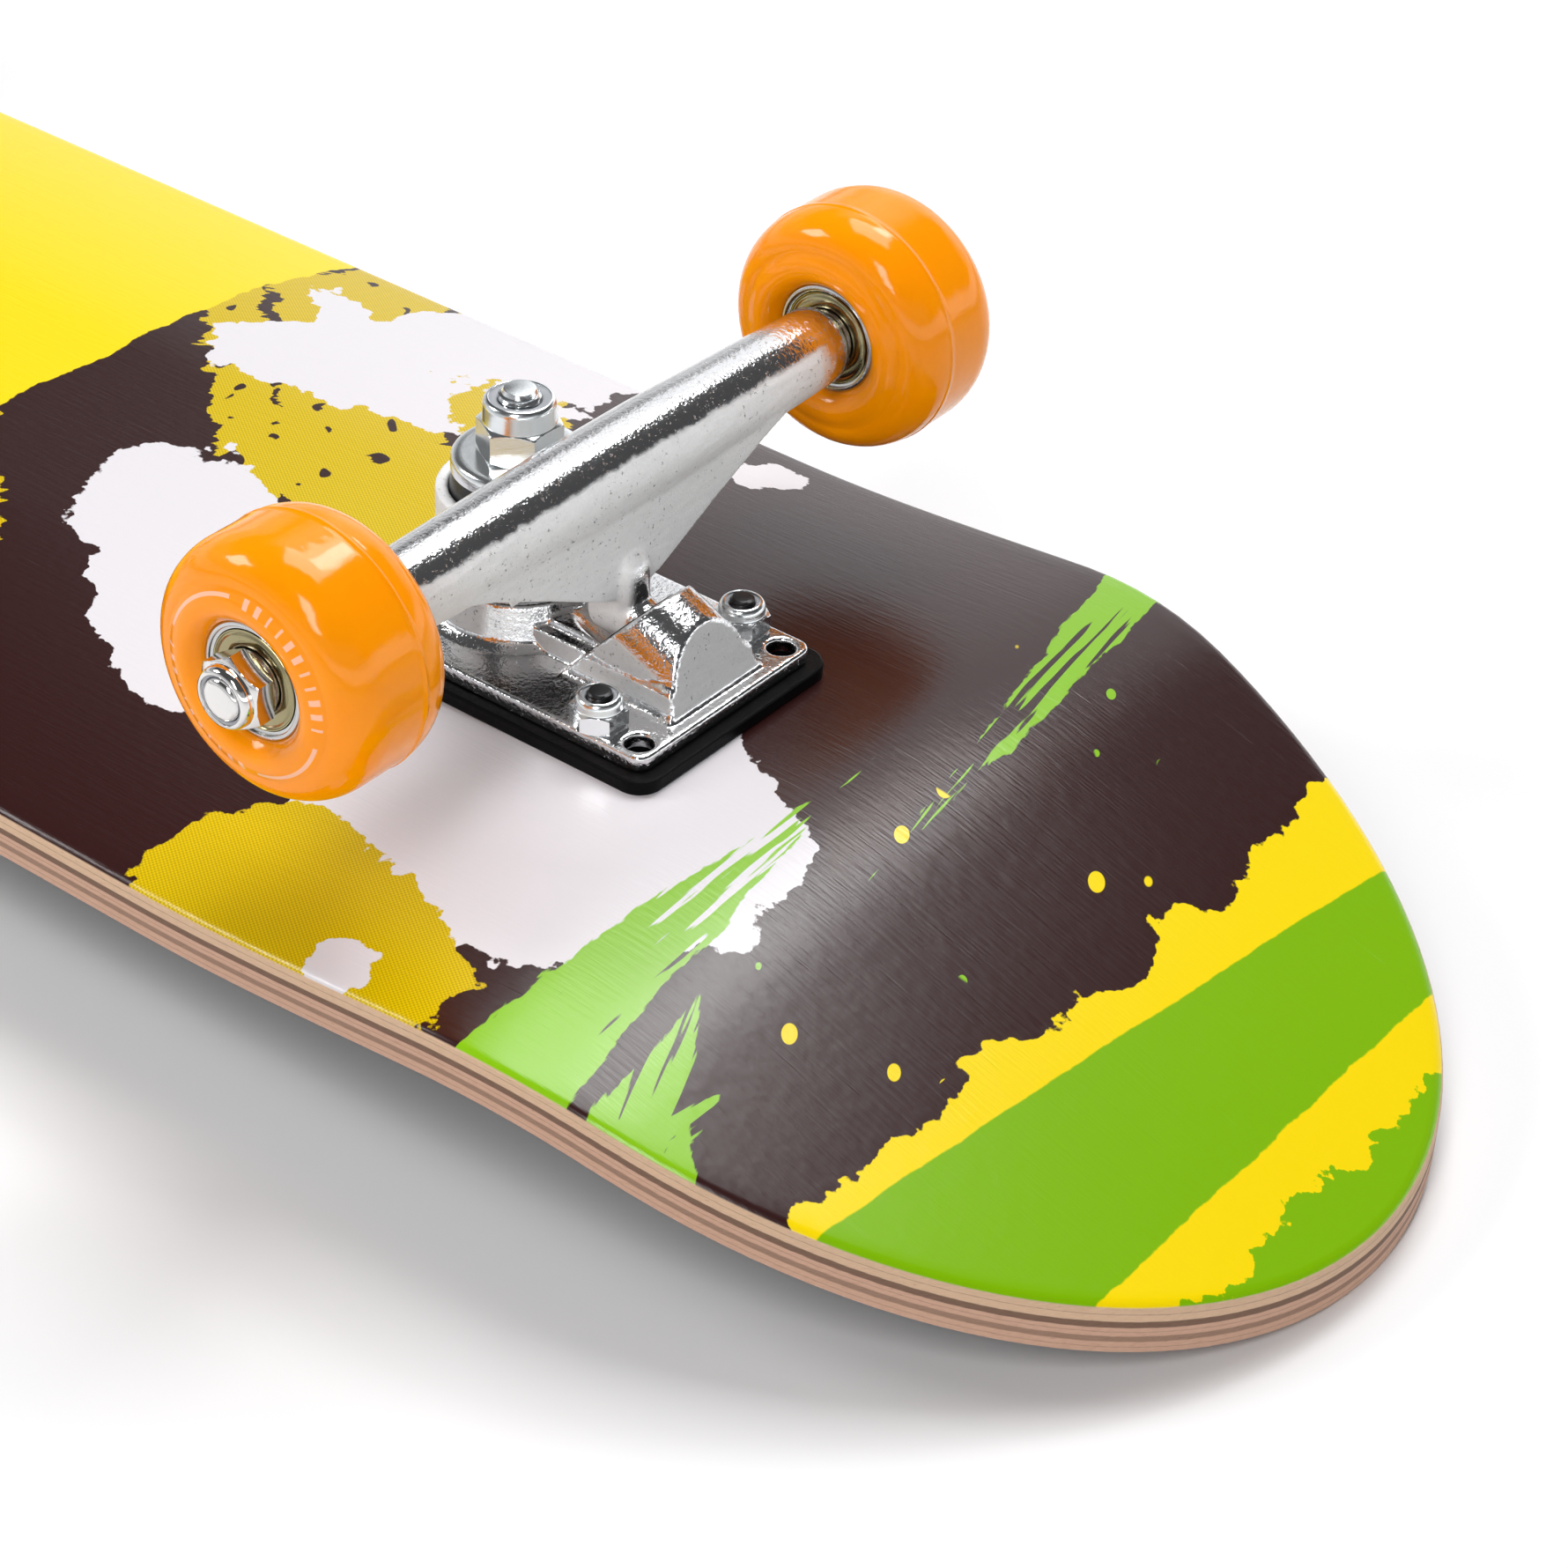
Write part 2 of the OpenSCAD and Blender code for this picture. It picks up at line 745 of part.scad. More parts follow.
module bearing_shields(s) {
  color("#8f8250")
  on_axle()
    at_bearings(s * wheel_y)
      for (z = [-3.2, 3.2 - shield_t])
        translate([0, 0, z])
          difference() {
            cylinder(h = shield_t, r = outer_race_r - 0.05);
            translate([0, 0, -1]) cylinder(h = 3, r = 6.3);
          }
}

// Cast wheel: rounded tread, dished faces, two bearing seats with a shoulder between.
module wheel(s) {
  r = wheel_d / 2;
  h = wheel_width / 2;
  seat = bearing_od / 2 + 0.02;
  seat_in = bearing_gap / 2;
  seat_out = seat_in + bearing_width;
  arc = [for (a = [0:10:90])
    [18.6 + (r - 18.6) * cos(a), tread_width / 2 + (12.2 - tread_width / 2) * sin(a)]];
  side = concat(
    [[9.6, 0], [9.6, seat_in], [seat, seat_in], [seat, seat_out + 0.2],
     [12.3, h - 0.9], [13.3, h - 0.15], [14.2, h], [15.4, h - 0.25], [17.2, h - 1.2]],
    [for (i = [len(arc) - 1:-1:0]) arc[i]],
    [[r, 0]]
  );
  color(orange)
  on_axle()
    translate([0, 0, s * wheel_y])
      for (m = [0, 1])
        mirror([0, 0, m])
          rotate_extrude($fn = 96) polygon(side);
}

// ---------------------------------------------------------------- nodes

deck();
griptape();

front() riser_pad();  // riser_pad_front
front() baseplate();  // baseplate_front
front() pivot_cup();  // pivot_cup_front
front() kingpin();  // kingpin_front
front() kingpin_nut();  // kingpin_nut_front
front() board_bushing();  // board_bushing_front
front() road_bushing();  // road_bushing_front
front() board_washer();  // board_washer_front
front() road_washer();  // road_washer_front
front() hanger();  // hanger_front
front() axle();  // axle_front
front() deck_bolts();  // deck_bolts_front
front() deck_nuts();  // deck_nuts_front
front() axle_nuts();  // axle_nuts_front
front() speed_washers();  // speed_washers_front
front() bearing_inner_races();  // bearing_inner_races_front

rear() riser_pad();  // riser_pad_rear
rear() baseplate();  // baseplate_rear
rear() pivot_cup();  // pivot_cup_rear
rear() kingpin();  // kingpin_rear
rear() kingpin_nut();  // kingpin_nut_rear
rear() board_bushing();  // board_bushing_rear
rear() road_bushing();  // road_bushing_rear
rear() board_washer();  // board_washer_rear
rear() road_washer();  // road_washer_rear
rear() hanger();  // hanger_rear
rear() axle();  // axle_rear
rear() deck_bolts();  // deck_bolts_rear
rear() deck_nuts();  // deck_nuts_rear
rear() axle_nuts();  // axle_nuts_rear
rear() speed_washers();  // speed_washers_rear
rear() bearing_inner_races();  // bearing_inner_races_rear

front() wheel(1);  // wheel_front_left
front() bearing_outer_races(1);  // bearing_outer_races_front_left
front() bearing_balls(1);  // bearing_balls_front_left
front() bearing_cages(1);  // bearing_cages_front_left
front() bearing_shields(1);  // bearing_shields_front_left

front() wheel(-1);  // wheel_front_right
front() bearing_outer_races(-1);  // bearing_outer_races_front_right
front() bearing_balls(-1);  // bearing_balls_front_right
front() bearing_cages(-1);  // bearing_cages_front_right
front() bearing_shields(-1);  // bearing_shields_front_right

rear() wheel(1);  // wheel_rear_left
rear() bearing_outer_races(1);  // bearing_outer_races_rear_left
rear() bearing_balls(1);  // bearing_balls_rear_left
rear() bearing_cages(1);  // bearing_cages_rear_left
rear() bearing_shields(1);  // bearing_shields_rear_left

rear() wheel(-1);  // wheel_rear_right
rear() bearing_outer_races(-1);  // bearing_outer_races_rear_right
rear() bearing_balls(-1);  // bearing_balls_rear_right
rear() bearing_cages(-1);  // bearing_cages_rear_right
rear() bearing_shields(-1);  // bearing_shields_rear_right
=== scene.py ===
"""Skateboard lying upside down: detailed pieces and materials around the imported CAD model.

Metres, in the CAD's frame: +X towards the nose, +Y across, +Z up, floor at z = 0.
"""
import json
import math
import random

import bmesh
import bpy
from mathutils import Matrix, Vector


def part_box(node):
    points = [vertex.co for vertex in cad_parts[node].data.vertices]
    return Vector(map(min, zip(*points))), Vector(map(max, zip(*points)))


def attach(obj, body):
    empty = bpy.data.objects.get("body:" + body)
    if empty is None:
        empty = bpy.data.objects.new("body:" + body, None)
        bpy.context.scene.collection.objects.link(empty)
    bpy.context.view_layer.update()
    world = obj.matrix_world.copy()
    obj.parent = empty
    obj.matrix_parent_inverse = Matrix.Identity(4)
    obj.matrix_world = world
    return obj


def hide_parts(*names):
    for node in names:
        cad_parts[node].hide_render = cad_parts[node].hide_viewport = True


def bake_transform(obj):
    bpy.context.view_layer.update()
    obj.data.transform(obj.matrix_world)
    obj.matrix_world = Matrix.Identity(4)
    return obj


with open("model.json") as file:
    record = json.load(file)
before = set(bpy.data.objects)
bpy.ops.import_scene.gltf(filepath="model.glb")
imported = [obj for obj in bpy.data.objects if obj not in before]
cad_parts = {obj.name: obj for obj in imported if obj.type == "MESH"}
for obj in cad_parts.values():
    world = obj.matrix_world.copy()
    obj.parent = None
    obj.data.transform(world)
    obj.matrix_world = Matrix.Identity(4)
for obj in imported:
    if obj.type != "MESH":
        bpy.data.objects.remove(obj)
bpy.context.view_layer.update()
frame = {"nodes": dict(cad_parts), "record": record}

MM = 0.001
ENDS = {"front": 1, "rear": -1}
SIDES = {"left": 1, "right": -1}


def centre(node):
    """Middle of a CAD node's box."""
    low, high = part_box(node)
    return (Vector(low) + Vector(high)) / 2


# ------------------------------------------------------------------ node expressions


class Graph:
    """A shader node tree, with arithmetic on its sockets."""

    def __init__(self, owner, output="ShaderNodeOutputMaterial"):
        owner.use_nodes = True
        self.owner = owner
        self.tree = owner.node_tree
        self.tree.nodes.clear()
        self.out = self.add(output)

    def add(self, kind, **settings):
        node = self.tree.nodes.new(kind)
        for key, value in settings.items():
            setattr(node, key, value)
        return node

    def feed(self, socket, value):
        if isinstance(value, Val):
            self.tree.links.new(value.socket, socket)
        elif value is not None:
            socket.default_value = value

    def math(self, operation, *values, clamp=False):
        node = self.add("ShaderNodeMath", operation=operation, use_clamp=clamp)
        for socket, value in zip(node.inputs, values):
            self.feed(socket, value)
        return Val(self, node.outputs[0])

    def coordinates(self, output):
        node = self.add("ShaderNodeTexCoord")
        split = self.add("ShaderNodeSeparateXYZ")
        self.tree.links.new(node.outputs[output], split.inputs[0])
        return [Val(self, s) for s in split.outputs]

    def position(self):
        """The surface point in the object's own frame, in millimetres, as x, y, z."""
        return [v * (1 / MM) for v in self.coordinates("Object")]

    def normal(self):
        """The surface normal in the object's own frame, as x, y, z."""
        return self.coordinates("Normal")

    def vector(self, x, y=0.0, z=0.0):
        node = self.add("ShaderNodeCombineXYZ")
        for socket, value in zip(node.inputs, (x, y, z)):
            self.feed(socket, value)
        return Val(self, node.outputs[0])

    def noise(self, x, y=0.0, z=0.0, detail=2.0, rough=0.5):
        node = self.add("ShaderNodeTexNoise")
        self.feed(node.inputs["Vector"], self.vector(x, y, z))
        for name, value in (("Scale", 1.0), ("Detail", detail), ("Roughness", rough)):
            node.inputs[name].default_value = value
        return Val(self, node.outputs["Fac"])

    def cells(self, x, y=0.0, z=0.0):
        """Distance to the nearest of many random points."""
        node = self.add("ShaderNodeTexVoronoi")
        self.feed(node.inputs["Vector"], self.vector(x, y, z))
        node.inputs["Scale"].default_value = 1.0
        return Val(self, node.outputs["Distance"])

    def attribute(self, name):
        node = self.add("ShaderNodeAttribute", attribute_name=name)
        return Val(self, node.outputs["Fac"])

    def mix(self, factor, a, b):
        """Mix of two colours."""
        node = self.add("ShaderNodeMix", data_type="RGBA")
        self.feed(node.inputs[0], factor)
        for socket, value in ((node.inputs[6], a), (node.inputs[7], b)):
            self.feed(socket, (*value, 1) if isinstance(value, tuple) else value)
        return Val(self, node.outputs[2])

    def bump(self, height, distance, strength):
        node = self.add("ShaderNodeBump")
        self.feed(node.inputs["Height"], height)
        node.inputs["Distance"].default_value = distance
        node.inputs["Strength"].default_value = strength
        return Val(self, node.outputs[0])

    def finish(self, **inputs):
        """Adds the surface shader. Names are the shader's sockets, with _ for spaces."""
        shader = self.add("ShaderNodeBsdfPrincipled")
        for key, value in inputs.items():
            socket = shader.inputs[key.replace("_", " ")]
            if isinstance(value, tuple) and len(value) == 3 and socket.type == "RGBA":
                value = (*value, 1)
            self.feed(socket, value)
        self.tree.links.new(shader.outputs[0], self.out.inputs[0])
        return self.owner


class Val:
    """A socket that takes part in arithmetic."""

    def __init__(self, nodes, socket):
        self.nodes, self.socket = nodes, socket

    def _do(self, operation, *others):
        return self.nodes.math(operation, self, *others)

    def __add__(self, o):
        return self._do("ADD", o)

    __radd__ = __add__

    def __sub__(self, o):
        return self._do("SUBTRACT", o)

    def __rsub__(self, o):
        return self.nodes.math("SUBTRACT", o, self)

    def __mul__(self, o):
        return self._do("MULTIPLY", o)

    __rmul__ = __mul__

    def __truediv__(self, o):
        return self._do("DIVIDE", o)

    def __neg__(self):
        return self * -1.0

    def abs(self):
        return self._do("ABSOLUTE")

    def sin(self):
        return self._do("SINE")

    def cos(self):
        return self._do("COSINE")

    def floor(self):
        return self._do("FLOOR")

    def fract(self):
        return self._do("FRACT")

    def power(self, o):
        return self._do("POWER", o)

    def sqrt(self):
        return self._do("SQRT")

    def low(self, o):
        return self._do("MINIMUM", o)

    def high(self, o):
        return self._do("MAXIMUM", o)

    def above(self, edge, soft=0.0):
        """1 where the value is above edge, 0 below, over a width of soft."""
        if not soft:
            return self._do("GREATER_THAN", edge)
        return self.nodes.math("MULTIPLY_ADD", self - edge, 1 / soft, 0.5, clamp=True)

    def below(self, edge, soft=0.0):
        return 1 - self.above(edge, soft)


def skin(name):
    """The node tree of a new material."""
    return Graph(bpy.data.materials.new(name))


# ------------------------------------------------------------------ mesh helpers


def piece(name, verts, faces, material, body, smooth=True, sharp=40):
    """A mesh object that rides on a body and fills a material slot, where these are given.

    sharp is the angle in degrees above which an edge is not smoothed.
    """
    mesh = bpy.data.meshes.new(name)
    mesh.from_pydata(verts, [], faces)
    mesh.validate()
    obj = bpy.data.objects.new(name, mesh)
    bpy.context.scene.collection.objects.link(obj)
    mesh.materials.append(material)
    tidy_normals(mesh)
    if smooth:
        mesh.shade_smooth()
        mesh.set_sharp_from_angle(angle=math.radians(sharp))
    if body:
        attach(obj, body)
    return obj


def tidy_normals(mesh):
    bm = bmesh.new()
    bm.from_mesh(mesh)
    bmesh.ops.recalc_face_normals(bm, faces=bm.faces)
    bm.to_mesh(mesh)
    bm.free()


def lathe(profile, steps, axis="Y", close=False):
    """Vertices and faces of a profile of (radius, distance along the axis) turned round it.

    A point with radius 0 is a pole. close joins the last point to the first.
    """
    verts, rings = [], []
    for r, d in profile:
        if r < 1e-9:
            rings.append([len(verts)])
            verts.append((0, 0, d))
            continue
        rings.append(list(range(len(verts), len(verts) + steps)))
        for i in range(steps):
            a = 2 * math.pi * i / steps
            verts.append((r * math.cos(a), r * math.sin(a), d))
    pairs = list(zip(rings, rings[1:]))
    if close:
        pairs.append((rings[-1], rings[0]))
    faces = []
    for a, b in pairs:
        for i in range(steps):
            j = (i + 1) % steps
            if len(a) == 1:
                faces.append((a[0], b[j], b[i]))
            elif len(b) == 1:
                faces.append((a[i], a[j], b[0]))
            else:
                faces.append((a[i], a[j], b[j], b[i]))
    if axis == "Y":
        verts = [(x, z, -y) for x, y, z in verts]
    return verts, faces


def joined(parts):
    """The vertices and faces of several shapes as one."""
    verts, faces = [], []
    for v, f in parts:
        faces += [tuple(i + len(verts) for i in face) for face in f]
        verts += v
    return verts, faces


# ------------------------------------------------------------------ deck surface

DECK_LOW, DECK_HIGH = (Vector(c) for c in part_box("deck"))
DECK_HALF = (DECK_HIGH.x - DECK_LOW.x) / 2
DECK_HALF_W = (DECK_HIGH.y - DECK_LOW.y) / 2
DECK_TOP = DECK_HIGH.z
DECK_T = 10.6 * MM
END_L = 130 * MM
KICK_START = 258 * MM
KICK_BLEND = 36 * MM
KICK_SLOPE = math.tan(math.radians(18))
CONCAVE = (8.7 * MM, 2.2 * MM)  # in the middle and on the kicks
CONCAVE_FLAT = 28 * MM
CONCAVE_ENDS = 190 * MM
CONCAVE_FADE = 110 * MM
TAPE_T = 0.8 * MM
TAPE_MARGIN = 4.5 * MM
TIP_HALF_W = 1.2 * MM
BOARD_SHARP = 28  # the angle in degrees above which an edge of the board is not smoothed


def kick(x):
    """Drop and slope of the centre line at distance x from the middle."""
    s = max(0.0, abs(x) - KICK_START)
    if s < KICK_BLEND:
        return KICK_SLOPE * s * s / (2 * KICK_BLEND), KICK_SLOPE * s / KICK_BLEND
    return KICK_SLOPE * (s - KICK_BLEND / 2), KICK_SLOPE


def deck_z(x, y, depth=0.0):
    """Height of the board at (x, y), depth below its graphic side."""
    t = min(1.0, max(0.0, (abs(x) - CONCAVE_ENDS) / CONCAVE_FADE))
    t = t * t * (3 - 2 * t)
    rise = CONCAVE[0] * (1 - t) + CONCAVE[1] * t
    bowl = min(1.0, max(0.0, (abs(y) - CONCAVE_FLAT) / (DECK_HALF_W - CONCAVE_FLAT))) ** 1.7
    drop, slope = kick(x)
    return DECK_TOP - drop - rise * bowl - depth * math.sqrt(1 + slope * slope)


def outline(n_end, n_mid, inset):
    """Stations (x, half width) along the board, for an outline moved in by inset."""
    half = []
    for i in range(n_end + 1):
        a = math.pi / 2 * i / n_end
        half.append((DECK_HALF - END_L + (END_L - inset) * math.sin(a),
                     (DECK_HALF_W - inset) * math.cos(a)))
    half[-1] = (DECK_HALF - inset, TIP_HALF_W)
    mid = DECK_HALF - END_L
    middle = [(mid * (2 * i / n_mid - 1), DECK_HALF_W - inset) for i in range(1, n_mid)]
    left = [(-x, w) for x, w in reversed(half)]
    return left + middle + half


def board(name, layers, n_across, material):
    """A board-shaped solid. layers are (inset, depth) from the graphic side round the edge to
    the other side; the first and last are filled across."""
    n_end, n_mid = 36, 104
    rows = [outline(n_end, n_mid, inset) for inset, _ in layers]
    count = len(rows[0])
    verts, depth_of = [], []
    total = layers[-1][1] - layers[0][1]

    def add(x, y, depth):
        verts.append((x, y, deck_z(x, y, depth)))
        depth_of.append((depth - layers[0][1]) / total)
        return len(verts) - 1

    ring = []
    for s in range(count):
        loop = []
        x, w = rows[0][s]
        loop += [add(x, w * (2 * j / n_across - 1), layers[0][1]) for j in range(n_across + 1)]
        for k in range(1, len(layers) - 1):
            x, w = rows[k][s]
            loop.append(add(x, w, layers[k][1]))
        x, w = rows[-1][s]
        loop += [add(x, w * (1 - 2 * j / n_across), layers[-1][1]) for j in range(n_across + 1)]
        for k in range(len(layers) - 2, 0, -1):
            x, w = rows[k][s]
            loop.append(add(x, -w, layers[k][1]))
        ring.append(loop)
    faces = []
    n = len(ring[0])
    for a, b in zip(ring, ring[1:]):
        for i in range(n):
            j = (i + 1) % n
            faces.append((a[i], a[j], b[j], b[i]))
    # The two tips: strips across, from the first layer to the last.
    extra = len(layers) - 2
    for loop, flip in ((ring[0], True), (ring[-1], False)):
        first = loop[: n_across + 1]
        right = loop[n_across + 1: n_across + 1 + extra]
        last = loop[n_across + 1 + extra: 2 * n_across + 2 + extra][::-1]
        left = loop[2 * n_across + 2 + extra:][::-1]
        lines = [first] + [[left[k], right[k]] for k in range(extra)] + [last]
        for upper, lower in zip(lines, lines[1:]):
            strip = (upper[::-1] + lower) if flip else (upper + lower[::-1])
            faces.append(tuple(strip))
    obj = piece(name, verts, faces, material, None, sharp=BOARD_SHARP)
    values = obj.data.attributes.new("depth", "FLOAT", "POINT")
    values.data.foreach_set("value", depth_of)
    return obj


def drilled(obj, holes):
    """Cuts round holes (x, y, low z, high z, low radius, high radius) through a piece."""
    drills = []
    for x, y, z0, z1, r0, r1 in holes:
        verts, faces = lathe([(0, z0), (r0, z0), (r1, z1), (0, z1)], 32, axis="Z")
        drills.append(([(a + x, b + y, c) for a, b, c in verts], faces))
    verts, faces = joined(drills)
    mesh = bpy.data.meshes.new("cutter")
    mesh.from_pydata(verts, [], faces)
    tidy_normals(mesh)
    cutter = bpy.data.objects.new("cutter", mesh)
    bpy.context.scene.collection.objects.link(cutter)
    cut = obj.modifiers.new("holes", "BOOLEAN")
    cut.operation, cut.solver, cut.object = "DIFFERENCE", "EXACT", cutter
    graph = bpy.context.evaluated_depsgraph_get()
    result = bpy.data.meshes.new_from_object(obj.evaluated_get(graph))
    obj.modifiers.clear()
    obj.data = result
    bpy.data.objects.remove(cutter)
    result.set_sharp_from_angle(angle=math.radians(BOARD_SHARP))
    return obj


# ------------------------------------------------------------------ printed artwork

BROWN = (0.031, 0.0085, 0.0080)
MUSTARD = (0.500, 0.350, 0.001)
YELLOW = (0.920, 0.680, 0.000)
WHITE = (0.740, 0.715, 0.745)
GREEN = (0.205, 0.455, 0.000)
LIME = (0.235, 0.520, 0.004)
EDGE_SOFT = 0.3
ART_SEED = 5
# The colour fields, in millimetres from the middle of the board: the end of the yellow one, the
# brown one with drops on it, and the starts of the yellow and green ones and a band on each end.
MIDDLE_END = 62
DROPS_FROM, DROPS_TO = 258, 324
END_YELLOW = 327
END_GREEN = 338
END_BAND = 373


class Paint:
    """Layers of ink on the deck, in millimetres. u runs from the middle to either end, and v
    across, so that the tail has the nose's layout turned half round."""

    def __init__(self, g, x, y):
        self.g = g
        self.u, self.v = x.abs(), y * (x.above(0) * 2 - 1)
        self.fine = g.noise(x * 0.35, y * 0.35, 3.1, detail=3.0) - 0.5
        self.broad = g.noise(x * 0.055, y * 0.055, 1.7, detail=2.0) - 0.5
        weave = (x * 7.2 + y * 1.4).sin() * (y * 7.2 - x * 1.4).sin()
        self.mustard = g.mix(weave.above(0.0, 0.5) * 0.55, MUSTARD, YELLOW)
        self.colour = BROWN

    def lay(self, mask, ink):
        self.colour = self.g.mix(mask, self.colour, ink)

    def rag(self, fine, broad):
        return self.fine * fine + self.broad * broad

    def inside(self, reach):
        """1 where reach is negative."""
        return reach.below(0, EDGE_SOFT)

    def blob(self, cu, cv, ru, rv, turn=0, fine=5, broad=20):
        """Ragged ellipse, turned by an angle in degrees."""
        c, s = math.cos(math.radians(turn)), math.sin(math.radians(turn))
        du, dv = self.u - cu, self.v - cv
        along = (du * c + dv * s) / ru
        across = (dv * c - du * s) / rv
        reach = ((along * along + across * across).sqrt() - 1) * min(ru, rv)
        return self.inside(reach + self.rag(fine, broad))

    def splat(self, cu, cv, radius, lobes, spike):
        """Thrown drop with a crown of small spikes."""
        du, dv = self.u - cu, self.v - cv
        distance = (du * du + dv * dv).sqrt()
        way = self.g.noise(du / distance * 2.2, dv / distance * 2.2, cu, detail=2.0)
        angle = self.g.math("ARCTAN2", dv, du) * (lobes / 2)
        crown = 1 - (angle + way * 14).sin().abs()
        reach = distance - crown.power(2.5) * spike * (way * 2.6 - 0.5) - radius
        return self.inside(reach + self.rag(2, 22))

    def stroke(self, start, end, w0, w1, seed, dry=0.30):
        """Brush stroke between two points, from width w0 to w1, drier towards its end."""
        (u0, v0), (u1, v1) = start, end
        length = math.hypot(u1 - u0, v1 - v0)
        c, s = (u1 - u0) / length, (v1 - v0) / length
        du, dv = self.u - u0, self.v - v0
        along = du * c + dv * s
        across = dv * c - du * s
        t = (along / length).high(0).low(1)
        bristle = self.g.noise(across * 0.45, along * 0.022, seed, detail=2.0, rough=0.6)
        edge = self.g.noise(across * 0.16, along * 0.045, seed + 5, detail=4.0, rough=0.6) - 0.5
        half = (t * (w1 - w0) + w0) / 2
        body = self.inside(across.abs() + edge * 9 - half)
        ends = self.inside(-along + edge * 8) * self.inside(along - length + edge * 40)
        return body * ends * (bristle - t * dry).above(0.28, 0.02)

    def streak(self, middle, width, start, stop, seed):
        """Torn band running diagonally across the board; middle and width are across it."""
        along = (self.u - self.v) * 0.7071
        across = (self.u + self.v) * 0.7071
        bend = self.g.noise(along * 0.022, seed, 0.0, detail=1.0) - 0.5
        torn = self.g.noise(along * 0.16, across * 0.05, seed, detail=3.0, rough=0.6) - 0.5
        holes = self.g.noise(along * 0.13, across * 0.16, seed + 3, detail=1.0)
        body = self.inside((across - middle + bend * 22).abs() + torn * 17 - width / 2)
        ends = self.inside(-along + start + torn * 22) * self.inside(along - stop + torn * 40)
        return body * ends * holes.below(0.68, 0.01)

    def specks(self, pitch, size, seed, ink, where):
        """Small drops thrown off the brush, a little longer than wide."""
        u, v = self.u / pitch, self.v / pitch
        drop = self.g.cells((u + v * 0.5) * 1.6 + seed, v - u * 0.4 + seed)
        few = self.g.noise(u * 0.5 + seed, v * 0.5, 0.0).above(0.56, 0.01)
        self.lay(drop.below(size, 0.01) * few * where, ink)


def printed_side(g, x, y):
    """A generic paint-splash pattern in three colour fields: yellow, brown and green.

    The marks are drawn at random; none stands for a picture, a letter or a sign.
    """
    p = Paint(g, x, y)
    draw = random.Random(ART_SEED)
    width = DECK_HALF_W / MM
    for i in range(5):
        middle, band = draw.uniform(30, 150), draw.uniform(9, 24)
        start, stop = draw.uniform(-50, -10), draw.uniform(80, 135)
        p.lay(p.streak(middle, band, start, stop, i * 2.3), p.mustard)
    p.lay(p.inside(p.u - MIDDLE_END + p.rag(2, 9)), YELLOW)
    for ink, count, small, large in ((WHITE, 5, 12, 50), (p.mustard, 4, 8, 38), (BROWN, 3, 7, 16),
                                     (WHITE, 3, 4, 9)):
        for _ in range(count):
            radius = draw.uniform(small, large)
            cu, cv = draw.uniform(80, 258), draw.uniform(-width, width)
            p.lay(p.blob(cu, cv, radius, radius * draw.uniform(0.4, 0.8), draw.uniform(-60, 60)),
                  ink)
    p.lay(p.splat(draw.uniform(150, 250), draw.uniform(-80, 80), 21, 19, 8), p.mustard)
    for i in range(4):
        side = draw.choice((-1, -1, 1))
        u0, u1 = draw.uniform(268, 318), draw.uniform(268, 312)
        reach = draw.uniform(0.2, 1.3) * width
        p.lay(p.stroke((u0, side * width * 1.08), (u1, side * (width - reach)),
                       draw.uniform(12, 34), draw.uniform(-6, 2), i * 3.1), LIME)
    dropped = p.u.above(DROPS_FROM) * p.u.below(DROPS_TO)
    p.specks(17, 0.17, 3.0, YELLOW, dropped)
    p.specks(13, 0.13, 8.0, LIME, dropped)
    p.lay(p.inside(END_YELLOW - p.u + p.rag(5, 26)), YELLOW)
    p.lay(p.inside(END_GREEN + p.v * 0.1 - p.u + p.rag(0.6, 1.5)), GREEN)
    p.lay(p.inside((p.u - END_BAND + p.rag(4, 8)).abs() - 5.5 + p.rag(3, 6)), YELLOW)
    return p.colour


# ------------------------------------------------------------------ materials


def plies(g, depth, x, y, z):
    """Colour of the edge at a depth of 0 to 1: pale plies with two darker ones between them."""
    grain = g.noise(x * 0.02, y * 0.02, z * 2.6, detail=4.0, rough=0.65)
    pores = g.noise(x * 0.6, y * 0.6, z * 4.5, detail=4.0, rough=0.75)
    d = depth + (grain - 0.5) * 0.03
    pale = g.mix(pores, (0.52, 0.33, 0.205), (0.78, 0.55, 0.375))
    blush = g.mix(pores, (0.46, 0.255, 0.165), (0.70, 0.45, 0.33))
    dark = g.mix(pores, (0.115, 0.058, 0.034), (0.25, 0.145, 0.095))
    middle = g.mix(pores, (0.22, 0.118, 0.074), (0.40, 0.25, 0.175))
    colour = g.mix(d.above(0.40, 0.02), pale, blush)
    colour = g.mix((d - 0.355).abs().below(0.062, 0.02), colour, dark)
    colour = g.mix((d - 0.640).abs().below(0.055, 0.02), colour, middle)
    for seam in (0.155, 0.50, 0.80):
        colour = g.mix((d - seam).abs().below(0.008, 0.01) * 0.55, colour, middle)
    return g.mix(pores.below(0.33, 0.04) * 0.45, colour, (0.12, 0.06, 0.035))


